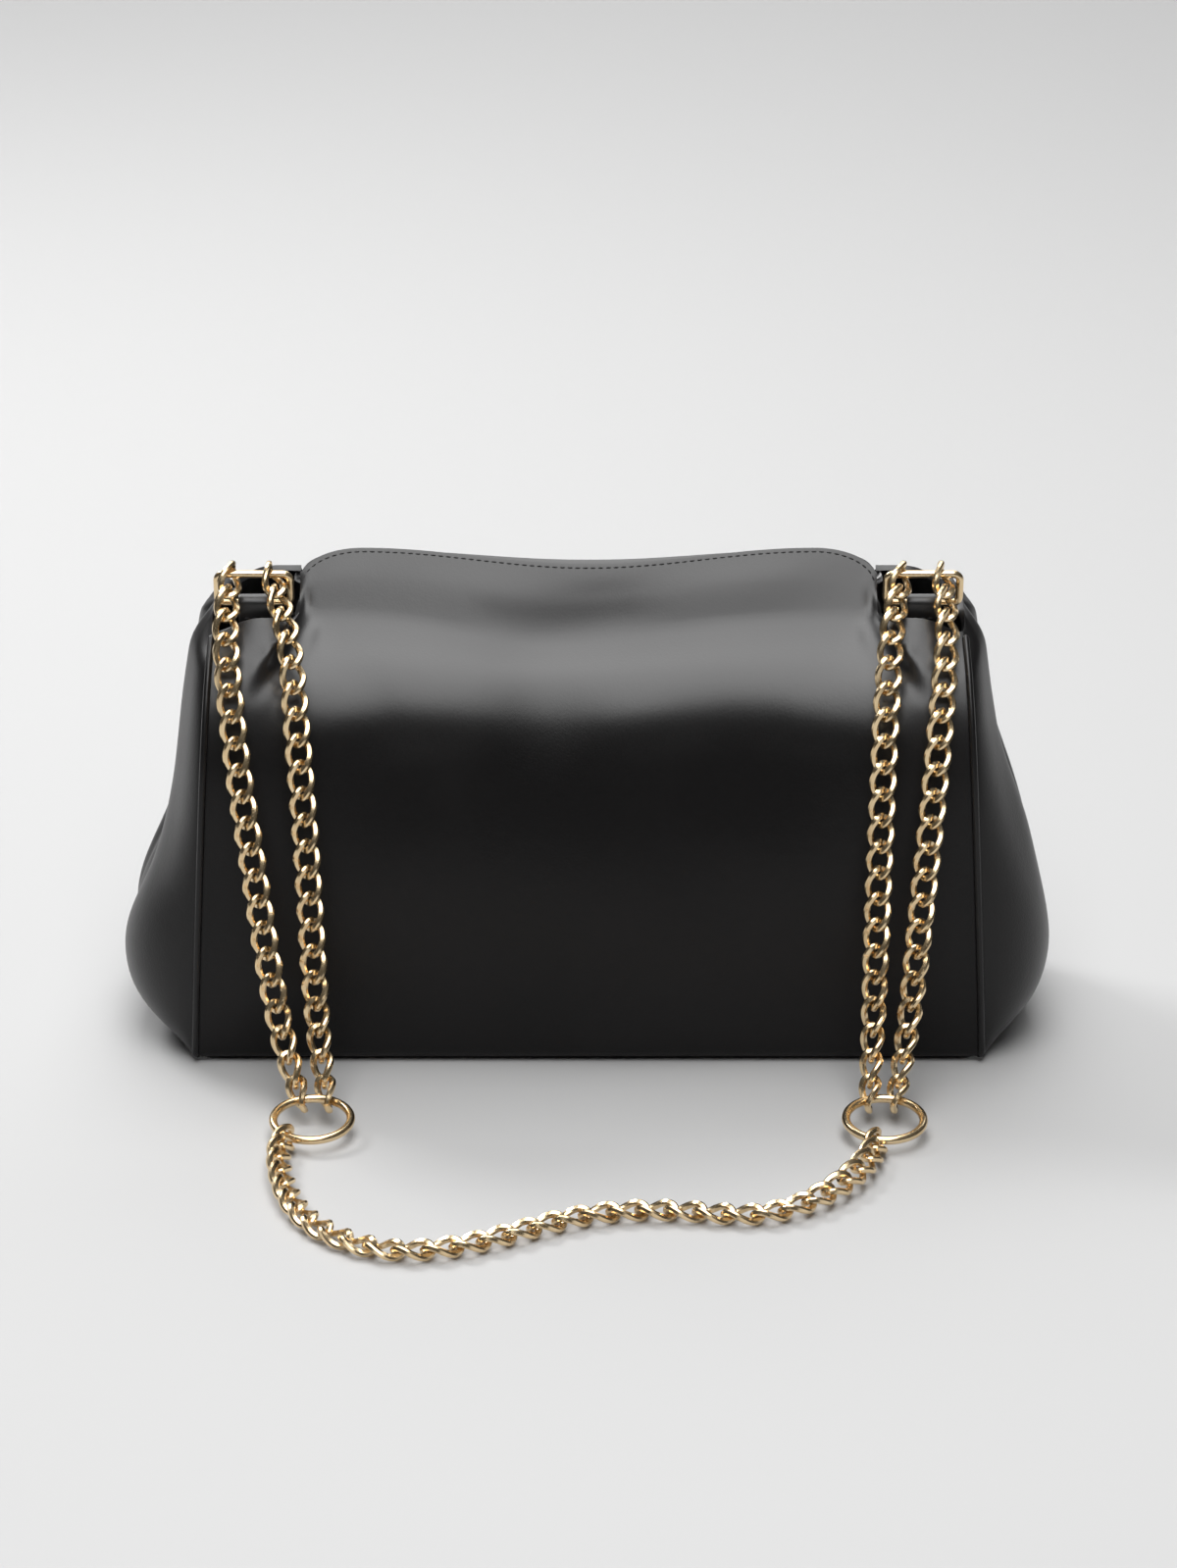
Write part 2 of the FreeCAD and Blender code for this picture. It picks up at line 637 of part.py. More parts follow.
# Along the ground: share of the way from ring to ring, of the sweep, and of half a link's width that it lifts
FLOOR_SHARES = [
    (-0.048, 0.229, 0.65), (-0.041, 0.422, 0.47), (0.038, 0.831, 0), (0.163, 1.0, 0), (0.292, 0.946, 0),
    (0.488, 0.723, 0), (0.654, 0.699, 0), (0.767, 0.717, 0), (0.901, 0.536, 0.44), (0.965, 0.301, 0.65)]
rest_height = LINK.optimalBoundingBox().ZMax + fit_gap
start, start_wire = on_join_ring("left", 235)
end, end_wire = on_join_ring("right", 255)
left_centre, right_centre = join_centres["left"], join_centres["right"]
between = []
for across_share, sweep_share, lift_share in FLOOR_SHARES:
    x = left_centre.x + (right_centre.x - left_centre.x) * across_share
    y = left_centre.y - size("chain_sweep") * sweep_share
    between.append(Vector(x, y, rest_height + lift_share * link_side))
links = chain([start] + between + [end], Vector(0, 0, 1), start_wire, end_wire,
              BAR_HOOK_ANGLE, BAR_HOOK_ANGLE)
parts.append(feature("shoulder_chain", Part.Compound(links)))

# Write every sub-part

doc.recompute()
os.makedirs("parts", exist_ok=True)
for thing in doc.Objects:
    if "Invalid" in thing.State or "Error" in thing.State:
        raise RuntimeError("not built: " + thing.Label)
for part in parts:
    if part.Shape.isNull() or not part.Shape.isValid():
        raise RuntimeError("not a valid shape: " + part.Label)
    part.Shape.exportStep("parts/" + part.Label + ".step")
print(len(parts), "sub-parts written")
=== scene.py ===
"""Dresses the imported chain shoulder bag: soft black leather, stitched lips and a pale gold curb chain."""
import json
import math

import bpy
import numpy as np
from mathutils import Matrix, Vector


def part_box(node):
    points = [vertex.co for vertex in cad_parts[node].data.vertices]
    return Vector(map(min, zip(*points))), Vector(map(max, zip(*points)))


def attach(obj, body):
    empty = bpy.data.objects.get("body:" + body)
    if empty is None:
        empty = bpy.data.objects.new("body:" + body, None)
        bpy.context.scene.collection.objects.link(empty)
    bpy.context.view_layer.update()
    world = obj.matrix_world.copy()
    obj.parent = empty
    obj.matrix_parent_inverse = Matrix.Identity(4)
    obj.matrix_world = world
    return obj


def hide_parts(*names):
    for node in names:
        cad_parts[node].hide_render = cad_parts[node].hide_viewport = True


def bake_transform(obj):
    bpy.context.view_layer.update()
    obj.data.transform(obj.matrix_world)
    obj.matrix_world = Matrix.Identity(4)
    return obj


bl_info = {
    "name": "Chain shoulder bag",
    "version": (1, 0, 0),
    "blender": (4, 5, 0),
    "location": "View3D > Sidebar > Bag",
    "description": "Models the leather, stitching and finishes of a chain shoulder bag over its CAD frame",
    "category": "Object",
}

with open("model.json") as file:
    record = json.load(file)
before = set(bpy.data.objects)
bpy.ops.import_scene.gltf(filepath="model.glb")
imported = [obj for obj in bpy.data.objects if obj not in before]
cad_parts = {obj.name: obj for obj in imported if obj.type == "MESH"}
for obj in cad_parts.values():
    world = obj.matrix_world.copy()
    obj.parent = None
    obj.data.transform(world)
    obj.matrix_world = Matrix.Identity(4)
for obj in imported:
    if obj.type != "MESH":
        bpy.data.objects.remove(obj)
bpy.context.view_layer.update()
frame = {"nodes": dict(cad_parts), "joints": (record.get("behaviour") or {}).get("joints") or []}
NODES = frame["nodes"]
JOINTS = {joint["name"]: joint for joint in frame["joints"]}
MM = 0.001
LOOP_BAR = {side: Vector(JOINTS[side + "_loop_bar"]["pos_m"]) for side in ("left", "right")}


class BagSizes(bpy.types.PropertyGroup):
    """Sizes of the dressed pieces, in metres."""
    leather: bpy.props.FloatProperty(
        name="Leather", description="Thickness of the panels and gussets", default=0.0020, unit="LENGTH")
    stitch_length: bpy.props.FloatProperty(
        name="Stitch", description="Length of one stitch", default=0.0017, unit="LENGTH")
    stitch_step: bpy.props.FloatProperty(
        name="Stitch step", description="From stitch to stitch", default=0.0024, unit="LENGTH")
    stitch_radius: bpy.props.FloatProperty(
        name="Thread", description="Radius of the sewing thread", default=0.00026, unit="LENGTH")
    stitch_inset: bpy.props.FloatProperty(
        name="Stitch inset", description="From a lip's edge to its stitching", default=0.0013, unit="LENGTH")


class BagColours(bpy.types.PropertyGroup):
    """Colours of the finishes."""
    leather: bpy.props.FloatVectorProperty(
        name="Leather", description="Smooth black leather", subtype="COLOR", default=(0.0042, 0.0038, 0.0040))
    leather_worn: bpy.props.FloatVectorProperty(
        name="Rubbed leather", description="Leather where it is handled", subtype="COLOR",
        default=(0.0080, 0.0072, 0.0075))
    thread: bpy.props.FloatVectorProperty(
        name="Thread", description="Sewing thread", subtype="COLOR", default=(0.014, 0.014, 0.015))
    cloth: bpy.props.FloatVectorProperty(
        name="Lining", description="Lining cloth", subtype="COLOR", default=(0.016, 0.015, 0.0145))
    gold: bpy.props.FloatVectorProperty(
        name="Gold", description="Plating of the chain", subtype="COLOR", default=(0.92, 0.74, 0.48))
    gold_deep: bpy.props.FloatVectorProperty(
        name="Deep gold", description="Plating in its recesses", subtype="COLOR", default=(0.72, 0.52, 0.28))
    steel: bpy.props.FloatVectorProperty(
        name="Steel", description="Magnets", subtype="COLOR", default=(0.45, 0.45, 0.46))
    steel_light: bpy.props.FloatVectorProperty(
        name="Light steel", description="Magnets where they are rubbed", subtype="COLOR",
        default=(0.62, 0.62, 0.63))
    floor: bpy.props.FloatVectorProperty(
        name="Floor", description="Seamless paper under and behind the bag", subtype="COLOR",
        default=(0.51, 0.51, 0.51))


def sizes():
    return bpy.context.scene.bag_sizes


def colours():
    return bpy.context.scene.bag_colours


# Curves and grids


class Curve:
    """Natural cubic curve through points, read by its share of the way along."""

    def __init__(self, points, at=None):
        self.points = np.array(points, float)
        steps = np.linalg.norm(np.diff(self.points, axis=0), axis=1)
        self.at = np.concatenate([[0.0], np.cumsum(steps)]) if at is None else np.array(at, float)
        self.first, self.length = self.at[0], self.at[-1] - self.at[0]
        count = len(self.points)
        gap = np.diff(self.at)
        system = np.eye(count)
        right = np.zeros_like(self.points)
        for i in range(1, count - 1):
            system[i, i - 1:i + 2] = gap[i - 1], 2 * (gap[i - 1] + gap[i]), gap[i]
            rise = (self.points[i + 1] - self.points[i]) / gap[i]
            right[i] = 6 * (rise - (self.points[i] - self.points[i - 1]) / gap[i - 1])
        self.curl = np.linalg.solve(system, right)

    def value(self, at):
        """Point at a parameter of the curve's own."""
        i = int(np.clip(np.searchsorted(self.at, at) - 1, 0, len(self.at) - 2))
        gap = self.at[i + 1] - self.at[i]
        a, b = (self.at[i + 1] - at) / gap, (at - self.at[i]) / gap
        bend = ((a ** 3 - a) * self.curl[i] + (b ** 3 - b) * self.curl[i + 1]) * gap * gap / 6
        return a * self.points[i] + b * self.points[i + 1] + bend

    def share(self, share):
        return self.value(self.first + self.length * share)


def smooth(low, high, value):
    """0 below low, 1 above high and an easy change between them."""
    share = min(max((value - low) / (high - low), 0.0), 1.0)
    return share * share * (3 - 2 * share)


def bump(value, middle, width):
    return math.exp(-((value - middle) / width) ** 2)


def deselect():
    if bpy.context.object and bpy.context.object.mode != "OBJECT":
        bpy.ops.object.mode_set(mode="OBJECT")
    bpy.ops.object.select_all(action="DESELECT")


def pick(piece):
    """Makes a piece the active object and the only one selected."""
    deselect()
    piece.select_set(True)
    bpy.context.view_layer.objects.active = piece


def edit_faces(piece, wanted):
    """Opens a piece in edit mode with only the wanted faces selected."""
    pick(piece)
    bpy.ops.object.mode_set(mode="EDIT")
    bpy.ops.mesh.select_mode(type="FACE")
    bpy.ops.mesh.select_all(action="DESELECT")
    bpy.ops.object.mode_set(mode="OBJECT")
    for polygon in piece.data.polygons:
        polygon.select = wanted(polygon)
    bpy.ops.object.mode_set(mode="EDIT")


def grid_piece(name, across, along, surface):
    """A flat grid laid over a surface: surface(u, v) gives metres for u from -1 to 1 and v from 0 to 1."""
    deselect()
    bpy.ops.mesh.primitive_grid_add(x_subdivisions=across, y_subdivisions=along, size=2)
    piece = bpy.context.object
    piece.name = name
    for vertex in piece.data.vertices:
        vertex.co = surface(vertex.co.x, (vertex.co.y + 1) / 2)
    return piece


def apply_modifier(piece, kind, **settings):
    pick(piece)
    modifier = piece.modifiers.new(kind.title(), kind)
    for key, value in settings.items():
        setattr(modifier, key, value)
    bpy.ops.object.modifier_apply(modifier=modifier.name)


def face_outwards(piece, away_from):
    """Turns an open sheet so that its faces look away from a point."""
    total = 0.0
    for polygon in piece.data.polygons:
        total += polygon.area * polygon.normal.dot(polygon.center - Vector(away_from))
    if total < 0:
        pick(piece)
        bpy.ops.object.mode_set(mode="EDIT")
        bpy.ops.mesh.select_all(action="SELECT")
        bpy.ops.mesh.flip_normals()
        bpy.ops.object.mode_set(mode="OBJECT")


def thicken(piece, thickness, round_edges=True):
    """Gives a sheet a wall on its inner side, with softened edges."""
    apply_modifier(piece, "SOLIDIFY", thickness=thickness, offset=-1, use_even_offset=False, use_rim=True)
    if round_edges:
        apply_modifier(piece, "BEVEL", width=thickness * 0.3, segments=3, limit_method="ANGLE",
                       angle_limit=math.radians(50))


def finish(piece, material, body, slot, *nodes):
    """Shades a piece smooth, gives it its material and lets it ride on its body in place of some nodes."""
    pick(piece)
    bpy.ops.object.shade_smooth_by_angle(angle=math.radians(42))
    piece.data.materials.clear()
    piece.data.materials.append(material)
    if body:
        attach(piece, body)
    if nodes:
        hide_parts(*nodes)


def flipped(piece, axis):
    """Turns a piece into its mirror image across the X or Y middle plane."""
    flip = Matrix.Identity(4)
    flip[axis][axis] = -1
    piece.data.transform(flip)
    piece.data.flip_normals()
    return piece


# Finishes


def group_socket(group, name, kind, put_out=False, value=None):
    socket = group.interface.new_socket(name, in_out="OUTPUT" if put_out else "INPUT", socket_type=kind)
    if value is not None:
        socket.default_value = value
    return socket


def new_group(name, inputs, outputs):
    """An empty shader group with named sockets, and its two ends."""
    group = bpy.data.node_groups.new(name, "ShaderNodeTree")
    group_socket(group, "Vector", "NodeSocketVector")
    for socket, value in inputs:
        group_socket(group, socket, "NodeSocketFloat", value=value)
    for socket in outputs:
        group_socket(group, socket, "NodeSocketFloat", put_out=True)
    return group, group.nodes.new("NodeGroupInput"), group.nodes.new("NodeGroupOutput")


def math_node(tree, kind, first, second):
    node = tree.nodes.new("ShaderNodeMath")
    node.operation = kind
    for socket, value in zip(node.inputs, (first, second)):
        if isinstance(value, (int, float)):
            socket.default_value = value
        else:
            tree.links.new(value, socket)
    return node.outputs[0]


def noise_node(tree, vector, scale, detail):
    node = tree.nodes.new("ShaderNodeTexNoise")
    node.inputs["Detail"].default_value = detail
    tree.links.new(vector, node.inputs["Vector"])
    if isinstance(scale, (int, float)):
        node.inputs["Scale"].default_value = scale
    else:
        tree.links.new(scale, node.inputs["Scale"])
    return node.outputs["Fac"]


def grain_group():
    """Pebbled grain with fine wrinkles: a height for bump, and slow patches where hands have rubbed it."""
    group, start, end = new_group(
        "leather_grain", [("Pebble", 1500.0), ("Wrinkle", 260.0), ("Patch", 16.0)], ["Height", "Rubbed"])
    vector = start.outputs["Vector"]
    cells = group.nodes.new("ShaderNodeTexVoronoi")
    cells.feature = "SMOOTH_F1"
    group.links.new(vector, cells.inputs["Vector"])
    group.links.new(start.outputs["Pebble"], cells.inputs["Scale"])
    wrinkle = noise_node(group, vector, start.outputs["Wrinkle"], 4.0)
    pebble = math_node(group, "MULTIPLY", cells.outputs["Distance"], -0.55)
    height = math_node(group, "ADD", pebble, math_node(group, "MULTIPLY", wrinkle, 0.9))
    group.links.new(height, end.inputs["Height"])
    patch = noise_node(group, vector, start.outputs["Patch"], 3.0)
    sharper = math_node(group, "MULTIPLY", math_node(group, "SUBTRACT", patch, 0.42), 2.6)
    sharper.node.use_clamp = True
    group.links.new(sharper, end.inputs["Rubbed"])
    return group


def burnish_group():
    """Mask that is 0 low on the bag and 1 near its mouth, with an uneven border."""
    group, start, end = new_group("burnish", [("Low", 0.096), ("High", 0.124)], ["Burnished"])
    split = group.nodes.new("ShaderNodeSeparateXYZ")
    group.links.new(start.outputs["Vector"], split.inputs[0])
    uneven = math_node(group, "MULTIPLY", noise_node(group, start.outputs["Vector"], 28.0, 2.0), 0.012)
    height = math_node(group, "ADD", split.outputs["Z"], math_node(group, "SUBTRACT", uneven, 0.006))
    mask = group.nodes.new("ShaderNodeMapRange")
    mask.interpolation_type = "SMOOTHSTEP"
    group.links.new(height, mask.inputs["Value"])
    group.links.new(start.outputs["Low"], mask.inputs["From Min"])
    group.links.new(start.outputs["High"], mask.inputs["From Max"])
    group.links.new(mask.outputs["Result"], end.inputs["Burnished"])
    return group


def weave_group():
    """Plain weave: crossed threads as a height, and a slubby unevenness."""
    group, start, end = new_group("plain_weave", [("Threads", 1500.0)], ["Height", "Slub"])
    vector = start.outputs["Vector"]
    heights = []
    for direction in ("X", "Z"):
        wave = group.nodes.new("ShaderNodeTexWave")
        wave.bands_direction = direction
        wave.inputs["Distortion"].default_value = 0.6
        group.links.new(vector, wave.inputs["Vector"])
        group.links.new(start.outputs["Threads"], wave.inputs["Scale"])
        heights.append(wave.outputs["Fac"])
    group.links.new(math_node(group, "MAXIMUM", *heights), end.inputs["Height"])
    group.links.new(noise_node(group, vector, 120.0, 3.0), end.inputs["Slub"])
    return group


def metal_group():
    """Handling marks on plated metal: slow tarnish patches and fine rubbing."""
    group, start, end = new_group("plated_metal", [("Tarnish", 180.0), ("Rub", 2400.0)], ["Tarnish", "Rub"])
    vector = start.outputs["Vector"]
    group.links.new(noise_node(group, vector, start.outputs["Tarnish"], 3.0), end.inputs["Tarnish"])
    group.links.new(noise_node(group, vector, start.outputs["Rub"], 2.0), end.inputs["Rub"])
    return group


class Finish:
    """A material under way: its shader, and places to add the nodes that feed it."""

    def __init__(self, name, **constants):
        self.material = bpy.data.materials.new(name)
        self.material.use_nodes = True
        self.tree = self.material.node_tree
        self.shader = self.tree.nodes["Principled BSDF"]
        for socket, value in constants.items():
            self.shader.inputs[socket.replace("_", " ")].default_value = value
        self.coords = self.tree.nodes.new("ShaderNodeTexCoord").outputs["Object"]

    def group(self, group, **values):
        node = self.tree.nodes.new("ShaderNodeGroup")
        node.node_tree = group
        self.tree.links.new(self.coords, node.inputs["Vector"])
        for socket, value in values.items():
            node.inputs[socket].default_value = value
        return node

    def blend(self, factor, first, second):
        """Base colour that goes from one colour to another."""
        mix = self.tree.nodes.new("ShaderNodeMix")
        mix.data_type = "RGBA"
        mix.inputs[6].default_value = (*first, 1)
        mix.inputs[7].default_value = (*second, 1)
        self.tree.links.new(factor, mix.inputs[0])
        self.tree.links.new(mix.outputs[2], self.shader.inputs["Base Color"])

    def spread(self, value, socket, low, high):
        """A value from 0 to 1 spread over a range of a shader's socket."""
        node = self.tree.nodes.new("ShaderNodeMapRange")
        node.inputs["To Min"].default_value = low
        node.inputs["To Max"].default_value = high
        self.tree.links.new(value, node.inputs["Value"])
        self.tree.links.new(node.outputs["Result"], self.shader.inputs[socket])

    def bump(self, height, distance, strength):
        node = self.tree.nodes.new("ShaderNodeBump")
        node.inputs["Distance"].default_value = distance
        node.inputs["Strength"].default_value = strength
        self.tree.links.new(height, node.inputs["Height"])
        self.tree.links.new(node.outputs["Normal"], self.shader.inputs["Normal"])


def leather_finish(name, grain, burnish, smoothness, gloss):
    """Black leather: pebbled, rubbed in patches, and burnished to a sheen from the ledge up to the lips."""
    made = Finish(name, Specular_IOR_Level=0.22, Coat_Roughness=0.34)
    node = made.group(grain)
    made.blend(node.outputs["Rubbed"], colours().leather, colours().leather_worn)
    made.spread(node.outputs["Rubbed"], "Roughness", smoothness - 0.05, smoothness + 0.06)
    made.spread(made.group(burnish).outputs["Burnished"], "Coat Weight", *gloss)
    made.bump(node.outputs["Height"], 0.00022, 0.35)
    return made.material


def thread_finish(weave):
    made = Finish("sewing_thread", Sheen_Weight=0.1)
    node = made.group(weave, Threads=5200.0)
    made.blend(node.outputs["Slub"], colours().thread, colours().leather_worn)
    made.spread(node.outputs["Slub"], "Roughness", 0.45, 0.65)
    made.bump(node.outputs["Height"], 0.00008, 0.4)
    return made.material


def cloth_finish(weave):
    made = Finish("lining_cloth", Sheen_Weight=0.25)
    node = made.group(weave)
    made.blend(node.outputs["Slub"], colours().cloth, [value * 1.5 for value in colours().cloth])
    made.spread(node.outputs["Slub"], "Roughness", 0.75, 0.92)
    made.bump(node.outputs["Height"], 0.00015, 0.5)
    return made.material


def gold_finish(metal):
    made = Finish("pale_gold", Metallic=1.0)
    node = made.group(metal)
    made.blend(node.outputs["Tarnish"], colours().gold_deep, colours().gold)
    made.spread(node.outputs["Rub"], "Roughness", 0.16, 0.32)
    made.bump(node.outputs["Rub"], 0.00002, 0.25)
    return made.material


def steel_finish(metal):
    made = Finish("magnet_steel", Metallic=1.0)
    node = made.group(metal)
    made.blend(node.outputs["Tarnish"], colours().steel, colours().steel_light)
    made.spread(node.outputs["Rub"], "Roughness", 0.25, 0.4)
    return made.material


FINISHES = {}


def make_finishes():
    grain, burnish, weave, metal = grain_group(), burnish_group(), weave_group(), metal_group()
    FINISHES["panel"] = leather_finish("black_leather", grain, burnish, 0.42, (0.05, 1.0))
    FINISHES["gusset"] = leather_finish("gusset_leather", grain, burnish, 0.42, (0.3, 0.45))
    FINISHES["welt"] = leather_finish("welt_leather", grain, burnish, 0.38, (0.25, 0.6))
    FINISHES["thread"] = thread_finish(weave)
    FINISHES["cloth"] = cloth_finish(weave)
    FINISHES["gold"] = gold_finish(metal)
    FINISHES["steel"] = steel_finish(metal)


def paper_material():
    """Matt pale paper that takes the bag's shadow."""
    material = bpy.data.materials.new("seamless_paper")
    material.use_nodes = True
    shader = material.node_tree.nodes["Principled BSDF"]
    shader.inputs["Base Color"].default_value = (*colours().floor, 1)
    shader.inputs["Roughness"].default_value = 0.7
    shader.inputs["Specular IOR Level"].default_value = 0.2
    return material


# Stage, in metres

# Name, place, aim, width, depth and power of each lamp
LAMPS = [
    ("overhead_softbox", (0.0, -0.44, 1.55), (0, -0.2, 0.1), 1.0, 2.8, 38.0),
    ("back_left_lamp", (-1.0, 0.9, 1.3), (0, 0, 0.05), 0.5, 0.5, 14.0),
    ("background_lamp", (-0.4, 2.4, 2.0), (-0.3, 2.0, 0.0), 4.0, 2.0, 62.0),
]
CAMERA_RISE = 20.0
CAMERA_DISTANCE = 1.3
CAMERA_AIM = (0.0, -0.05, 0.094)
CAMERA_LENS = 96.6
PAPER_SIZE = 9.0
PAPER_PLACE = (0, 1.2, -0.0004)
PAPER_WALL = 5.0
PAPER_CURVE = 1.6


class BAG_OT_stage(bpy.types.Operator):
    """Lays the paper, hangs the lamps and places the camera"""
    bl_idname = "bag.stage"
    bl_label = "Stage"

    def execute(self, context):
        scene = context.scene
        scene.view_settings.view_transform = "Standard"
        self.lay_paper()
        scene.world = bpy.data.worlds.new("studio")
        scene.world.use_nodes = True
        self.light_from_above(scene.world.node_tree)
        for lamp in LAMPS:
            self.hang(*lamp)
        self.place_camera(scene)
        return {"FINISHED"}

    def lay_paper(self):
        """A sheet of paper that curves up into a wall behind the bag."""
        deselect()
        bpy.ops.mesh.primitive_plane_add(size=PAPER_SIZE, location=PAPER_PLACE)
        floor = bpy.context.object
        floor.name = "seamless_paper"
        bpy.ops.object.mode_set(mode="EDIT")
        bpy.ops.mesh.select_all(action="DESELECT")
        bpy.ops.object.mode_set(mode="OBJECT")
        for edge in floor.data.edges:
            edge.select = all(floor.data.vertices[i].co.y > 0 for i in edge.vertices)
        bpy.ops.object.mode_set(mode="EDIT")
        bpy.ops.mesh.extrude_region_move(TRANSFORM_OT_translate={"value": (0, 0, PAPER_WALL)})
        bpy.ops.mesh.select_all(action="SELECT")
        bpy.ops.object.mode_set(mode="OBJECT")
        apply_modifier(floor, "BEVEL", width=PAPER_CURVE, segments=24)
        bpy.ops.object.transform_apply(location=True, rotation=True, scale=True)
        bpy.ops.object.shade_smooth()
        floor.data.materials.append(paper_material())

    def hang(self, name, place, aim, width, depth, power):
        """A rectangular lamp that looks at a point."""
        bpy.ops.object.light_add(type="AREA", location=place)
        lamp = bpy.context.object
        lamp.name = name
        lamp.data.shape = "RECTANGLE"
        lamp.data.size, lamp.data.size_y = width, depth
        lamp.data.energy = power
        lamp.rotation_euler = (Vector(aim) - Vector(place)).to_track_quat("-Z", "Y").to_euler()

    def place_camera(self, scene):
        """Looks at the back of the bag from a little above."""
        data = bpy.data.cameras.new("camera")
        camera = bpy.data.objects.new("camera", data)
        scene.collection.objects.link(camera)
        rise = math.radians(CAMERA_RISE)
        toward = Vector((0, math.cos(rise), -math.sin(rise)))
        camera.location = Vector(CAMERA_AIM) - toward * CAMERA_DISTANCE
        camera.rotation_euler = toward.to_track_quat("-Z", "Y").to_euler()
        data.sensor_fit = "VERTICAL"
        data.sensor_height = 36
        data.lens = CAMERA_LENS
        data.clip_end = 50
        scene.camera = camera

    def light_from_above(self, tree):
        """A white room, brightest overhead and dim towards its walls."""
        background = tree.nodes["Background"]
        background.inputs["Color"].default_value = (1, 1, 1, 1)
        split = tree.nodes.new("ShaderNodeSeparateXYZ")
        tree.links.new(tree.nodes.new("ShaderNodeTexCoord").outputs["Generated"], split.inputs[0])
        level = tree.nodes.new("ShaderNodeMapRange")
        level.inputs["From Min"].default_value = -0.05
        level.inputs["To Min"].default_value = 0.04
        level.inputs["To Max"].default_value = 0.12
        tree.links.new(split.outputs["Z"], level.inputs["Value"])
        tree.links.new(level.outputs["Result"], background.inputs["Strength"])


# The leather shell, in millimetres until a grid is laid over it

TOP_HALF = 116.0
FOOT_HALF = 124.0
SHOULDER_HEIGHT = 140.8
CREASE_LOWEST = -13.0
CREASE_DIP = 8.4
CREASE_LEFT_WIDTH = 34.0
CREASE_RIGHT_WIDTH = 48.0
CREASE_RISE = 4.2
LIP_HALF = 91.0
LIP_HEIGHT = 26.0
LIP_DIP = 5.5
LOBE = 71.0
CORNER_DROP = 11.0
FRONT_LIP_DROP = 5.0
LIP_SWELL = 1.0
LIP_SEAT = np.array(JOINTS["back_lip_crease"]["pos_m"]) / MM
LIP_LEAN = math.radians(32.17)
LIP_UP = np.array([0.0, math.sin(LIP_LEAN), math.cos(LIP_LEAN)])
LIP_OUT = np.array([0.0, -math.cos(LIP_LEAN), math.sin(LIP_LEAN)])
# Middle plane to the wall, and its height, from the foot up; then on to the shoulders
WALL = [(45.4, 0.6), (47.9, 1.5), (49.5, 6.0), (51.6, 22.0), (52.5, 45.0), (51.9, 74.0), (50.0, 100.0)]
SHOULDER_WALL = WALL + [
    (48.6, 106.5), (47.0, 112.0), (44.9, 117.4), (42.4, 122.3), (39.6, 126.8), (36.7, 130.9), (34.0, 134.2),
    (31.2, 137.5), (28.0, SHOULDER_HEIGHT)]
# Where each row above the belly turns from the lip to the shoulder, across the bag; the top two are slit
BELLY_ROWS = 5
TURNS = [(50, 112), (54, 111), (58, 110), (63, 109), (69, 108), (76, 107), (82, 103), (86, 99), (88.5, 96.5),
         (91.0, 92.2), (91.0, 92.2)]
# Slack wall under a lip: reach, height and the share of the crease's sag that lowers each row
SLACK_WALL = [
    (49.7, 74.0, 0.0), (44.3, 100.0, 0.0), (41.4, 111.5, 0.2), (37.7, 118.6, 0.27), (32.6, 124.6, 0.33)]
# The last row that the dropped corners leave level, and where these corners start
LEVEL_ROW = len(WALL) + 4
CORNER_START = 98.0
SLIT_SHARE = 0.8
SLIT_NEAR, SLIT_FAR = 90.8, 92.6
CREASE_ROUND = 2.2
# Slow and fine ripples of the leather, and dents in it: depth, place across and width, height and width
RIPPLE = 0.5
FINE_RIPPLE = 0.35
DENTS = [(-1.3, -14.0, 16.0, 112.0, 14.0), (-0.9, 48.0, 20.0, 108.0, 18.0), (0.9, 14.0, 42.0, 24.0, 18.0)]
PANEL_ACROSS, PANEL_ALONG = 208, 110
LINING_WIDTH, LINING_FOOT, LINING_RUN = 0.955, 0.06, 0.66
LINING_DEPTH = 2.75
LINING_CLOTH = 0.0007
BAG_MIDDLE = (0, 0, 0.07)


def metres(point):
    return Vector([float(value) * MM for value in point])


def seam_at(height):
    """Middle of the bag to the side edge of a panel."""
    return FOOT_HALF + (TOP_HALF - FOOT_HALF) * height / SHOULDER_HEIGHT


def crease_sag(x):
    """How far a crease hangs below its joint line: lowest left of the middle, and above it at the ends."""
    width = CREASE_RIGHT_WIDTH if x > CREASE_LOWEST else CREASE_LEFT_WIDTH
    return CREASE_DIP * bump(x, CREASE_LOWEST, width) - CREASE_RISE


def lip_top(x, margin):
    """Height of a lip's wavy edge above its crease."""
    half, top = LIP_HALF - margin, LIP_HEIGHT - margin
    x = min(abs(x), half)
    if x > LOBE:
        share = (x - LOBE) / (half - LOBE)
        return top - CORNER_DROP * (1 - math.sqrt(1 - share * share))
    return top - LIP_DIP * (1 + math.cos(math.pi * x / LOBE)) / 2


def lip_point(x, up, depth):
    """A point of the back lip at a depth inside its outer face, which swells a little."""
    share = min(max(up / LIP_HEIGHT, 0.0), 1.0)
    swell = LIP_SWELL * math.sin(math.pi * share) * (1 - 0.5 * abs(x) / LIP_HALF)
    return LIP_SEAT + np.array([x, 0, 0]) + LIP_UP * up + LIP_OUT * (swell - depth)


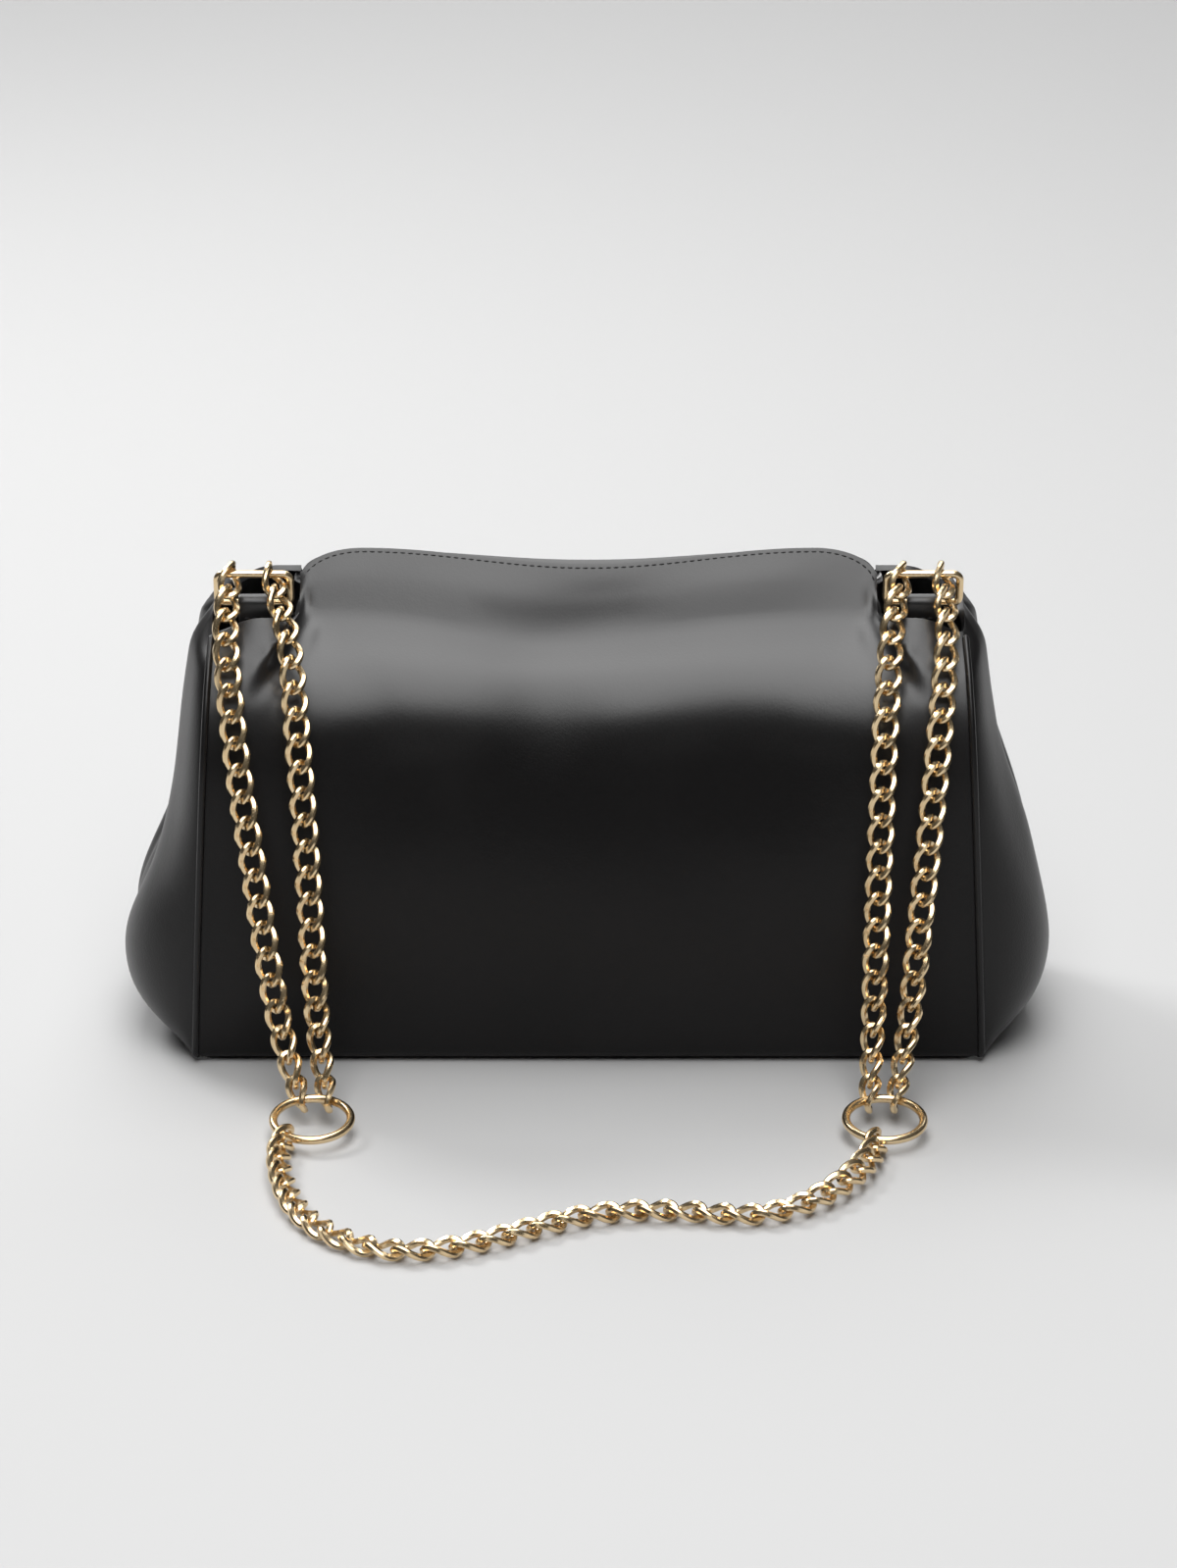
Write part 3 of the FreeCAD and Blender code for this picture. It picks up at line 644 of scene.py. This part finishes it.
class SheetShape:
    """Outer surface of the back leather, in columns from the foot up to the lip or the shoulder."""

    def __init__(self, ripple_phase, lip_drop, corner):
        self.phase = ripple_phase
        self.lip_drop = lip_drop
        self.corner = corner
        self.columns = {}

    def lip_column(self, x):
        """Rows from the foot over the ledge and the crease to the lip's edge."""
        sag = crease_sag(x)
        top = lip_top(x, 0) - self.lip_drop
        crease = self.on_lip(x, -sag)
        slack = [np.array([reach, height - share * sag]) for reach, height, share in SLACK_WALL]
        ledge = slack[-1]
        low = crease + (ledge - crease) / np.linalg.norm(ledge - crease) * CREASE_ROUND
        high = self.on_lip(x, CREASE_ROUND - sag)
        rows = WALL[:BELLY_ROWS] + slack + [(ledge + low) / 2, low, (low + 2 * crease + high) / 4, high]
        return rows + [self.on_lip(x, (top + CREASE_ROUND - sag) / 2), self.on_lip(x, top)]

    def on_lip(self, x, up):
        point = lip_point(x, up, 0)
        return np.array([-point[1], point[2]])

    def column(self, u):
        key = round(u, 5)
        if key not in self.columns:
            x = u * TOP_HALF
            corner = self.corner * smooth(CORNER_START, TOP_HALF, abs(x)) ** 2
            rows = [np.array(row) for row in self.lip_column(x)]
            for i, (first, last) in enumerate(TURNS, start=BELLY_ROWS):
                turned = smooth(first, last, abs(x))
                lower = corner * max(0, i - LEVEL_ROW) / (len(rows) - 1 - LEVEL_ROW)
                shoulder = np.array(SHOULDER_WALL[i]) - np.array([0, lower])
                rows[i] = rows[i] * (1 - turned) + shoulder * turned
            self.columns[key] = Curve(rows)
        return self.columns[key]

    def outer(self, u, v):
        """A point across the bag from -1 to 1 and up the leather from 0 to 1."""
        column = self.column(u)
        slit = column.at[-3]
        if v < SLIT_SHARE:
            reach, height = column.value(slit * v / SLIT_SHARE)
        else:
            past_slit = (column.at[-1] - slit) * (v - SLIT_SHARE) / (1 - SLIT_SHARE)
            reach, height = column.value(slit + past_slit)
        x = u * seam_at(min(height, SHOULDER_HEIGHT))
        fade = smooth(0.0, 0.12, v) * (1 - smooth(0.9, 1.0, v)) * (1 - smooth(0.86, 1.0, abs(u)))
        ripple = RIPPLE * math.sin(x / 19 + height / 31 + self.phase)
        ripple += FINE_RIPPLE * math.sin(x / 11 - height / 17 + 2 * self.phase) * smooth(0.45, 0.8, v)
        dent = 0.0
        for depth, across, width, level, tall in DENTS:
            dent += depth * bump(x, across, width) * bump(height, level, tall)
        return np.array([x, -(reach + fade * (ripple + dent)), height])

    def inside(self, u, v, depth):
        """A point at a depth inside the outer surface."""
        step = 0.002
        low, high = max(v - step, 0.0), min(v + step, 1.0)
        near, far = max(u - step, -1.0), min(u + step, 1.0)
        rise = self.outer(u, high) - self.outer(u, low)
        along = self.outer(far, v) - self.outer(near, v)
        normal = np.cross(rise, along)
        return self.outer(u, v) + normal / np.linalg.norm(normal) * depth


SHEETS = {"back": SheetShape(0.0, 0.0, 4.5), "front": SheetShape(1.7, FRONT_LIP_DROP, 5.0)}


class BAG_OT_panels(bpy.types.Operator):
    """Lays the back and front leather, from the foot up to the lips, and their linings"""
    bl_idname = "bag.panels"
    bl_label = "Panels and linings"

    def execute(self, context):
        for stem, way in (("back", 1), ("front", -1)):
            shape = SHEETS[stem]
            panel = grid_piece(stem + "_leather", PANEL_ACROSS, PANEL_ALONG,
                               lambda u, v: metres(shape.outer(u, v)))
            self.slit(panel)
            lining = grid_piece(stem + "_lining_cloth", 64, 40, lambda u, v: metres(
                shape.inside(u * LINING_WIDTH, LINING_FOOT + LINING_RUN * v, LINING_DEPTH)))
            for piece in (panel, lining):
                face_outwards(piece, BAG_MIDDLE)
            thicken(panel, sizes().leather)
            thicken(lining, LINING_CLOTH, round_edges=False)
            if stem == "front":
                panel, lining = flipped(panel, 1), flipped(lining, 1)
            finish(panel, FINISHES["panel"], None, "black_leather", stem + "_panel", stem + "_lip")
            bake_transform(panel)
            finish(lining, FINISHES["cloth"], "bag_body", "lining_cloth", stem + "_lining")
        return {"FINISHED"}

    def slit(self, panel):
        """Cuts the short slits that free the ends of a lip from the shoulders."""
        low_row = round(PANEL_ALONG * SLIT_SHARE)

        def in_slit(polygon):
            rows = [i // (PANEL_ACROSS + 1) for i in polygon.vertices]
            return min(rows) >= low_row and SLIT_NEAR < abs(polygon.center.x) / MM < SLIT_FAR
        edit_faces(panel, in_slit)
        bpy.ops.mesh.delete(type="FACE")
        bpy.ops.object.mode_set(mode="OBJECT")


# Inside of the lips: places are given by X and by the way up from the crease, depths from the outer face

FACING_MARGIN = 1.0
FACING_END = 3.0
FACING_DEPTH = 2.1
FACING_CLOTH = 0.0015
MAGNET_DROP = 12.0
SEAT_RADIUS = 0.00515
SEAT_DEPTH = 2.8
PATCH_RADIUS = 0.0065
PATCH_CLOTH = 0.0005
PATCH_DEPTH = 3.96


def flat_lip_point(x, up, depth):
    """A point at a depth inside the flat of the back lip."""
    return LIP_SEAT + np.array([x, 0, 0]) + LIP_UP * up - LIP_OUT * depth


class BAG_OT_lips(bpy.types.Operator):
    """Makes the facings and the magnet patches inside the lips"""
    bl_idname = "bag.lips"
    bl_label = "Lip facings"

    def execute(self, context):
        for stem, lip_drop in (("back", 0.0), ("front", FRONT_LIP_DROP)):
            facing = self.facing(stem + "_facing_cloth", lip_drop)
            patch = self.patch(stem + "_magnet_patch")
            made = [facing, patch]
            if stem == "front":
                made = [flipped(piece, 1) for piece in made]
            facing, patch = made
            finish(facing, FINISHES["cloth"], stem + "_lip", "lining_cloth", stem + "_lip_facing")
            finish(patch, FINISHES["cloth"], stem + "_lip", "lining_cloth", stem + "_magnet_cover")
        return {"FINISHED"}

    def facing(self, name, lip_drop):
        """Cloth backing of a lip, with the magnet's seat cut through it."""
        def surface(u, v):
            x = (LIP_HALF - FACING_MARGIN - FACING_END) * math.sin(u * math.pi / 2)
            top = lip_top(x, FACING_MARGIN) - lip_drop
            return metres(flat_lip_point(x, FACING_MARGIN + (top - FACING_MARGIN) * v, FACING_DEPTH))
        facing = grid_piece(name, 90, 14, surface)
        face_outwards(facing, (0, 0.03, 0.12))
        thicken(facing, FACING_CLOTH)
        self.cut_seat(facing)
        return facing

    def patch(self, name):
        """Cloth disc with a turned edge, sewn over a magnet."""
        deselect()
        bpy.ops.mesh.primitive_cylinder_add(vertices=48, radius=PATCH_RADIUS, depth=PATCH_CLOTH)
        patch = bpy.context.object
        patch.name = name
        edit_faces(patch, lambda polygon: polygon.normal.z > 0.9)
        bpy.ops.mesh.inset(thickness=0.0011)
        bpy.ops.transform.translate(value=(0, 0, -0.00012))
        bpy.ops.mesh.inset(thickness=0.003)
        bpy.ops.transform.translate(value=(0, 0, 0.0002))
        bpy.ops.object.mode_set(mode="OBJECT")
        apply_modifier(patch, "BEVEL", width=0.00012, segments=2, limit_method="ANGLE")
        patch.data.transform(self.at_magnet(PATCH_DEPTH))
        return patch

    def at_magnet(self, depth):
        """Carries a disc that looks up to the magnet's place, looking into the bag."""
        place = metres(flat_lip_point(0, LIP_HEIGHT - LIP_DIP - MAGNET_DROP, depth))
        inward = Vector([float(value) for value in -LIP_OUT])
        return Matrix.Translation(place) @ inward.to_track_quat("Z", "X").to_matrix().to_4x4()

    def cut_seat(self, facing):
        """Cuts the magnet's seat through a facing."""
        deselect()
        bpy.ops.mesh.primitive_cylinder_add(vertices=48, radius=SEAT_RADIUS, depth=0.006)
        cutter = bpy.context.object
        cutter.data.transform(self.at_magnet(SEAT_DEPTH))
        apply_modifier(facing, "BOOLEAN", object=cutter, operation="DIFFERENCE")
        bpy.data.objects.remove(cutter)


# Gussets, worked out for the right-hand side

GUSSET_RISE = [0.0, 0.065, 0.16, 0.26, 0.40, 0.57, 0.76, 0.90, 1.0]
GUSSET_BULGE = {
    "right": Curve([[6.0], [18.2], [25.6], [27.0], [23.0], [16.2], [10.2], [8.2], [7.0]], at=GUSSET_RISE),
    "left": Curve([[6.0], [19.4], [27.0], [27.4], [19.2], [12.4], [10.4], [8.6], [7.0]], at=GUSSET_RISE),
}
GUSSET_TUCK = Curve([[0.0], [0.8], [1.8], [3.2], [5.6], [7.0], [7.6], [8.1], [8.4]], at=GUSSET_RISE)
# Foot of the leather above the ground, how much lower than the shoulders it is cut, and its seam's insets
GUSSET_FOOT = 1.2
GUSSET_SHORT = 2.2
GUSSET_REACH_INSET = 0.9
GUSSET_SEAM_INSET = 0.2
# Spans of the rise over which the slanted folds come in and go out
BACK_FOLD = ((0.10, 0.25), (0.62, 0.8))
FRONT_FOLD = ((0.15, 0.3), (0.55, 0.8))


def fold(u, place, width, rise, spans):
    """Strength of a fold at a place across a gusset."""
    start, end = spans
    return bump(u, place, width) * smooth(*start, rise) * (1 - smooth(*end, rise))


class GussetShape:
    """Outer surface of a gusset: across from the back seam to the front seam, and up from the foot."""

    def __init__(self, side, fold_turn):
        self.bulge = GUSSET_BULGE[side]
        self.fold_turn = fold_turn
        self.wall = Curve(SHOULDER_WALL)

    def reach_at(self, height):
        """Middle plane to the wall at a height, found by halving."""
        low, high = 0.05, 1.0
        for _ in range(24):
            middle = (low + high) / 2
            if self.wall.share(middle)[1] < height:
                low = middle
            else:
                high = middle
        return self.wall.share(high)[0]

    def outer(self, u, rise):
        """A point across the gusset from -1 to 1 and up it from 0 to 1."""
        height = GUSSET_FOOT + rise * (SHOULDER_HEIGHT - GUSSET_SHORT)
        reach = self.reach_at(height) - GUSSET_REACH_INSET
        seam = seam_at(height) - GUSSET_SEAM_INSET
        bulge = float(self.bulge.value(rise)[0])
        tuck = float(GUSSET_TUCK.value(rise)[0])
        away = abs(u)
        round_out = (1 - away ** 3.0) ** 0.6
        x = seam + bulge * round_out
        x -= tuck * bump(u, 0.0, 0.30)
        x += 0.16 * bulge * bump(away, 0.45, 0.2) * smooth(0.25, 0.6, rise)
        slant = -0.62 + 0.55 * (1 - rise) + 0.06 * self.fold_turn
        x -= 1.5 * fold(u, slant, 0.055, rise, BACK_FOLD)
        x += 0.8 * fold(u, slant + 0.12, 0.07, rise, BACK_FOLD)
        x -= 1.1 * fold(u, 0.55 - 0.35 * (1 - rise), 0.06, rise, FRONT_FOLD)
        x += 0.35 * math.sin(height / 9 + 3 * u + self.fold_turn) * (1 - away) * smooth(0.0, 0.2, rise)
        curl = smooth(0.90, 1.0, rise)
        x -= 6.0 * curl ** 2 * bump(away, 0.5, 0.4)
        top = 3.0 * bump(away, 0.5, 0.28) - 5.0 * bump(u, 0.5, 0.22) - 4.4 * smooth(0.7, 1.0, away)
        return np.array([x, u * reach, height + top * curl])


class BAG_OT_gussets(bpy.types.Operator):
    """Makes the two swelling gussets with their folds"""
    bl_idname = "bag.gussets"
    bl_label = "Gussets"

    def execute(self, context):
        for stem, turn in (("right", 0.0), ("left", 1.0)):
            shape = GussetShape(stem, turn)
            gusset = grid_piece(stem + "_gusset_leather", 96, 84, lambda u, v: metres(shape.outer(u, v)))
            face_outwards(gusset, BAG_MIDDLE)
            thicken(gusset, sizes().leather)
            if stem == "left":
                gusset = flipped(gusset, 0)
            finish(gusset, FINISHES["gusset"], "bag_body", "black_leather", stem + "_gusset")
        return {"FINISHED"}


# Welts, along the right-hand seam of a panel: from foot to top as shares of the way up its leather

WELT_RADIUS = 1.1
WELT_THINNEST = 0.02
WELT_FOOT = 0.012
WELT_TOP = 0.985
WELT_SEAT = np.array([0.55, -0.35, 0.0])
WELT_STEP = 0.004


class BAG_OT_welts(bpy.types.Operator):
    """Sews a rolled welt along each seam between a panel and a gusset"""
    bl_idname = "bag.welts"
    bl_label = "Welts"

    def execute(self, context):
        for stem, shape in SHEETS.items():
            for side in ("right", "left"):
                welt = self.roll(stem + "_" + side + "_welt_leather", shape)
                if side == "left":
                    welt = flipped(welt, 0)
                if stem == "front":
                    welt = flipped(welt, 1)
                finish(welt, FINISHES["welt"], "bag_body", "welt_leather", stem + "_" + side + "_welt")
        return {"FINISHED"}

    def roll(self, name, shape):
        """A thin roll along the right-hand seam of a panel, which thins into the seam at both ends."""
        def surface(u, v):
            share = WELT_FOOT + (WELT_TOP - WELT_FOOT) * v
            middle = shape.outer(1.0, share) + WELT_SEAT
            ahead = shape.outer(1.0, share + WELT_STEP) - shape.outer(1.0, share - WELT_STEP)
            ahead /= np.linalg.norm(ahead)
            aside = np.cross(ahead, (0.0, -1.0, 0.0))
            aside /= np.linalg.norm(aside)
            radius = WELT_RADIUS * smooth(0.0, 0.015, v) * (1 - smooth(0.95, 1.0, v))
            turn = math.pi * u
            outward = aside * math.cos(turn) + np.cross(ahead, aside) * math.sin(turn)
            return metres(middle + outward * max(radius, WELT_THINNEST))
        welt = grid_piece(name, 14, 150, surface)
        bpy.ops.object.mode_set(mode="EDIT")
        bpy.ops.mesh.select_all(action="SELECT")
        bpy.ops.mesh.remove_doubles(threshold=0.000002)
        bpy.ops.mesh.fill_holes(sides=0)
        bpy.ops.mesh.normals_make_consistent(inside=False)
        bpy.ops.object.mode_set(mode="OBJECT")
        return welt


# Base, in metres

BASE_CORNER = 0.009
BASE_EDGE = 0.0006
BASE_ROLL = 0.0035
BASE_GROOVE = 0.0012
BASE_RECESS = 0.0005


class BAG_OT_base(bpy.types.Operator):
    """Makes the base panel with its rounded corners and rolled edge"""
    bl_idname = "bag.base"
    bl_label = "Base"

    def execute(self, context):
        low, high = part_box("base_panel")
        deselect()
        bpy.ops.mesh.primitive_cube_add(size=1, location=(0, 0, (low[2] + high[2]) / 2))
        base = context.object
        base.name = "base_leather"
        bpy.ops.transform.resize(value=(high[0] - low[0], high[1] - low[1], high[2] - low[2]))
        bpy.ops.object.transform_apply(location=True, rotation=True, scale=True)
        bpy.ops.object.mode_set(mode="EDIT")
        bpy.ops.mesh.select_mode(type="EDGE")
        bpy.ops.mesh.select_all(action="DESELECT")
        bpy.ops.object.mode_set(mode="OBJECT")
        for edge in base.data.edges:
            first, second = (base.data.vertices[i].co for i in edge.vertices)
            edge.select = abs(first.z - second.z) > 0.001
        bpy.ops.object.mode_set(mode="EDIT")
        bpy.ops.mesh.bevel(offset=BASE_CORNER, segments=10)
        edit_faces(base, lambda polygon: polygon.normal.z < -0.9)
        bpy.ops.mesh.inset(thickness=BASE_ROLL)
        bpy.ops.mesh.inset(thickness=BASE_GROOVE)
        bpy.ops.transform.translate(value=(0, 0, BASE_RECESS))
        bpy.ops.object.mode_set(mode="OBJECT")
        apply_modifier(base, "BEVEL", width=BASE_EDGE, segments=3, limit_method="ANGLE",
                       angle_limit=math.radians(40))
        finish(base, FINISHES["panel"], "bag_body", "black_leather", "base_panel")
        return {"FINISHED"}


# Strap tabs, as a strip folded over the loop's lower bar

TAB_HALF = 5.0
TAB_OUTER = 2.85
TAB_DROP = 14.0
TAB_EDGE = 0.15
TAB_LEATHER = 0.00135


def tab_point(along, out):
    """A place on the folded strip: along its length from 0 to 1, and out from its outer face."""
    arc = math.pi * TAB_OUTER
    total = 2 * TAB_DROP + arc
    way = along * total
    radius = TAB_OUTER + out
    if way < TAB_DROP:
        return np.array([-radius, way - TAB_DROP])
    if way > TAB_DROP + arc:
        return np.array([radius, TAB_DROP + arc - way])
    turn = math.pi - (way - TAB_DROP) / TAB_OUTER
    return np.array([radius * math.cos(turn), radius * math.sin(turn)])


class BAG_OT_tabs(bpy.types.Operator):
    """Folds a leather tab over the lower bar of each strap loop"""
    bl_idname = "bag.tabs"
    bl_label = "Strap tabs"

    def execute(self, context):
        for stem in ("left", "right"):
            seat = LOOP_BAR[stem]

            def surface(u, v):
                y, z = tab_point(v, -TAB_EDGE * abs(u) ** 6)
                return seat + metres((u * TAB_HALF, y, z))
            tab = grid_piece(stem + "_tab_leather", 14, 60, surface)
            face_outwards(tab, seat + Vector((0, 0, -0.005)))
            thicken(tab, TAB_LEATHER)
            finish(tab, FINISHES["panel"], "bag_body", "black_leather", stem + "_tab")
        return {"FINISHED"}


# Stitching, in millimetres: half of a lip's row and its points, how proud a stitch sits, and a tab's stitches

LIP_ROW_HALF = 89.5
LIP_ROW_POINTS = 240
STITCH_PROUD = 0.05
TAB_STITCHES = 3
TAB_STITCH_STEP = 2.3
TAB_STITCH_DROP = 4.2


def stitch_row(name, places, body):
    """One stitch modelled and copied along places, each a point, its heading and the way out; in metres."""
    deselect()
    bpy.ops.mesh.primitive_uv_sphere_add(segments=8, ring_count=6, radius=1)
    first = bpy.context.object
    first.name = name
    radius, half = sizes().stitch_radius, sizes().stitch_length / 2
    made = []
    for point, heading, out in places:
        along = Vector(heading).normalized()
        side = along.cross(Vector(out)).normalized()
        up = side.cross(along)
        turn = Matrix((along, side, up)).transposed().to_4x4()
        stitch = first.copy()
        stitch.data = first.data.copy()
        bpy.context.collection.objects.link(stitch)
        stretch = Matrix.Diagonal((half, radius, radius * 0.8, 1))
        stitch.data.transform(Matrix.Translation(point) @ turn @ stretch)
        made.append(stitch)
    bpy.data.objects.remove(first)
    deselect()
    for stitch in made:
        stitch.select_set(True)
    bpy.context.view_layer.objects.active = made[0]
    bpy.ops.object.join()
    row = bpy.context.object
    row.name = name
    finish(row, FINISHES["thread"], body, "black_leather")
    return row


def even_places(line, out_at, step):
    """Places at an even step along a row of points, with the heading and the way out at each."""
    points = [np.array(point) for point in line]
    gone = 0.0
    wanted = step / 2
    places = []
    for i in range(len(points) - 1):
        heading = points[i + 1] - points[i]
        length = float(np.linalg.norm(heading))
        while wanted <= gone + length:
            share = (wanted - gone) / length
            places.append((points[i] + heading * share, heading, out_at))
            wanted += step
        gone += length
    return places


class BAG_OT_stitches(bpy.types.Operator):
    """Sews along the lips and across the strap tabs"""
    bl_idname = "bag.stitches"
    bl_label = "Stitching"

    def execute(self, context):
        step = sizes().stitch_step / MM
        inset = sizes().stitch_inset / MM
        for stem, way, lip_drop in (("back", 1, 0.0), ("front", -1, FRONT_LIP_DROP)):
            line = []
            for i in range(LIP_ROW_POINTS + 1):
                x = LIP_ROW_HALF * math.sin(math.pi * (i / LIP_ROW_POINTS - 0.5))
                line.append(lip_point(x, lip_top(x, inset) - lip_drop, -STITCH_PROUD))
            places = []
            for point, heading, out in even_places(line, LIP_OUT, step):
                flip = np.array([1, way, 1])
                places.append((metres(point * flip), Vector(heading * flip), Vector(out * flip)))
            stitch_row(stem + "_lip_stitches", places, stem + "_lip")
        for stem in ("left", "right"):
            places = []
            for face in (-1, 1):
                for count in range(TAB_STITCHES):
                    x = (count - (TAB_STITCHES - 1) / 2) * TAB_STITCH_STEP
                    spot = LOOP_BAR[stem] + metres((x, face * (TAB_OUTER + STITCH_PROUD), -TAB_STITCH_DROP))
                    places.append((spot, Vector((1, 0, 0)), Vector((0, face, 0))))
            stitch_row(stem + "_tab_stitches", places, "bag_body")
        return {"FINISHED"}


class BAG_OT_metalwork(bpy.types.Operator):
    """Plates the chain, loops and rings, and finishes the board and magnets that stay from the CAD"""
    bl_idname = "bag.metalwork"
    bl_label = "Chain and fittings"

    def execute(self, context):
        for name, finish_name in KEPT_NODES.items():
            piece = NODES[name]
            if len(piece.data.materials) == 0:
                piece.data.materials.append(FINISHES[finish_name])
            for slot in piece.material_slots:
                slot.material = FINISHES[finish_name]
        return {"FINISHED"}


# CAD nodes that stay in view, and the finish of each
KEPT_NODES = {
    "left_outer_strand": "gold", "left_inner_strand": "gold",
    "right_inner_strand": "gold", "right_outer_strand": "gold",
    "shoulder_chain": "gold", "left_join_ring": "gold", "right_join_ring": "gold",
    "left_strap_loop": "gold", "right_strap_loop": "gold",
    "base_board": "cloth", "back_magnet": "steel", "front_magnet": "steel",
}

STEPS = [BAG_OT_stage, BAG_OT_panels, BAG_OT_gussets, BAG_OT_welts, BAG_OT_base, BAG_OT_lips, BAG_OT_tabs,
         BAG_OT_stitches, BAG_OT_metalwork]


class BAG_PT_sidebar(bpy.types.Panel):
    """Lists the bag's pieces, sizes and colours"""
    bl_idname = "BAG_PT_sidebar"
    bl_label = "Chain shoulder bag"
    bl_space_type = "VIEW_3D"
    bl_region_type = "UI"
    bl_category = "Bag"

    def draw(self, context):
        for step in STEPS:
            self.layout.operator(step.bl_idname)
        for group in (context.scene.bag_sizes, context.scene.bag_colours):
            for name in group.__annotations__:
                self.layout.prop(group, name)


CLASSES = [BagSizes, BagColours] + STEPS + [BAG_PT_sidebar]


def register():
    for kind in CLASSES:
        bpy.utils.register_class(kind)
    bpy.types.Scene.bag_sizes = bpy.props.PointerProperty(type=BagSizes)
    bpy.types.Scene.bag_colours = bpy.props.PointerProperty(type=BagColours)


def unregister():
    del bpy.types.Scene.bag_colours
    del bpy.types.Scene.bag_sizes
    for kind in reversed(CLASSES):
        bpy.utils.unregister_class(kind)


def main():
    register()
    make_finishes()
    bpy.ops.bag.stage()
    bpy.ops.bag.panels()
    bpy.ops.bag.gussets()
    bpy.ops.bag.welts()
    bpy.ops.bag.base()
    bpy.ops.bag.lips()
    bpy.ops.bag.tabs()
    bpy.ops.bag.stitches()
    bpy.ops.bag.metalwork()


if __name__ == "__main__":
    main()
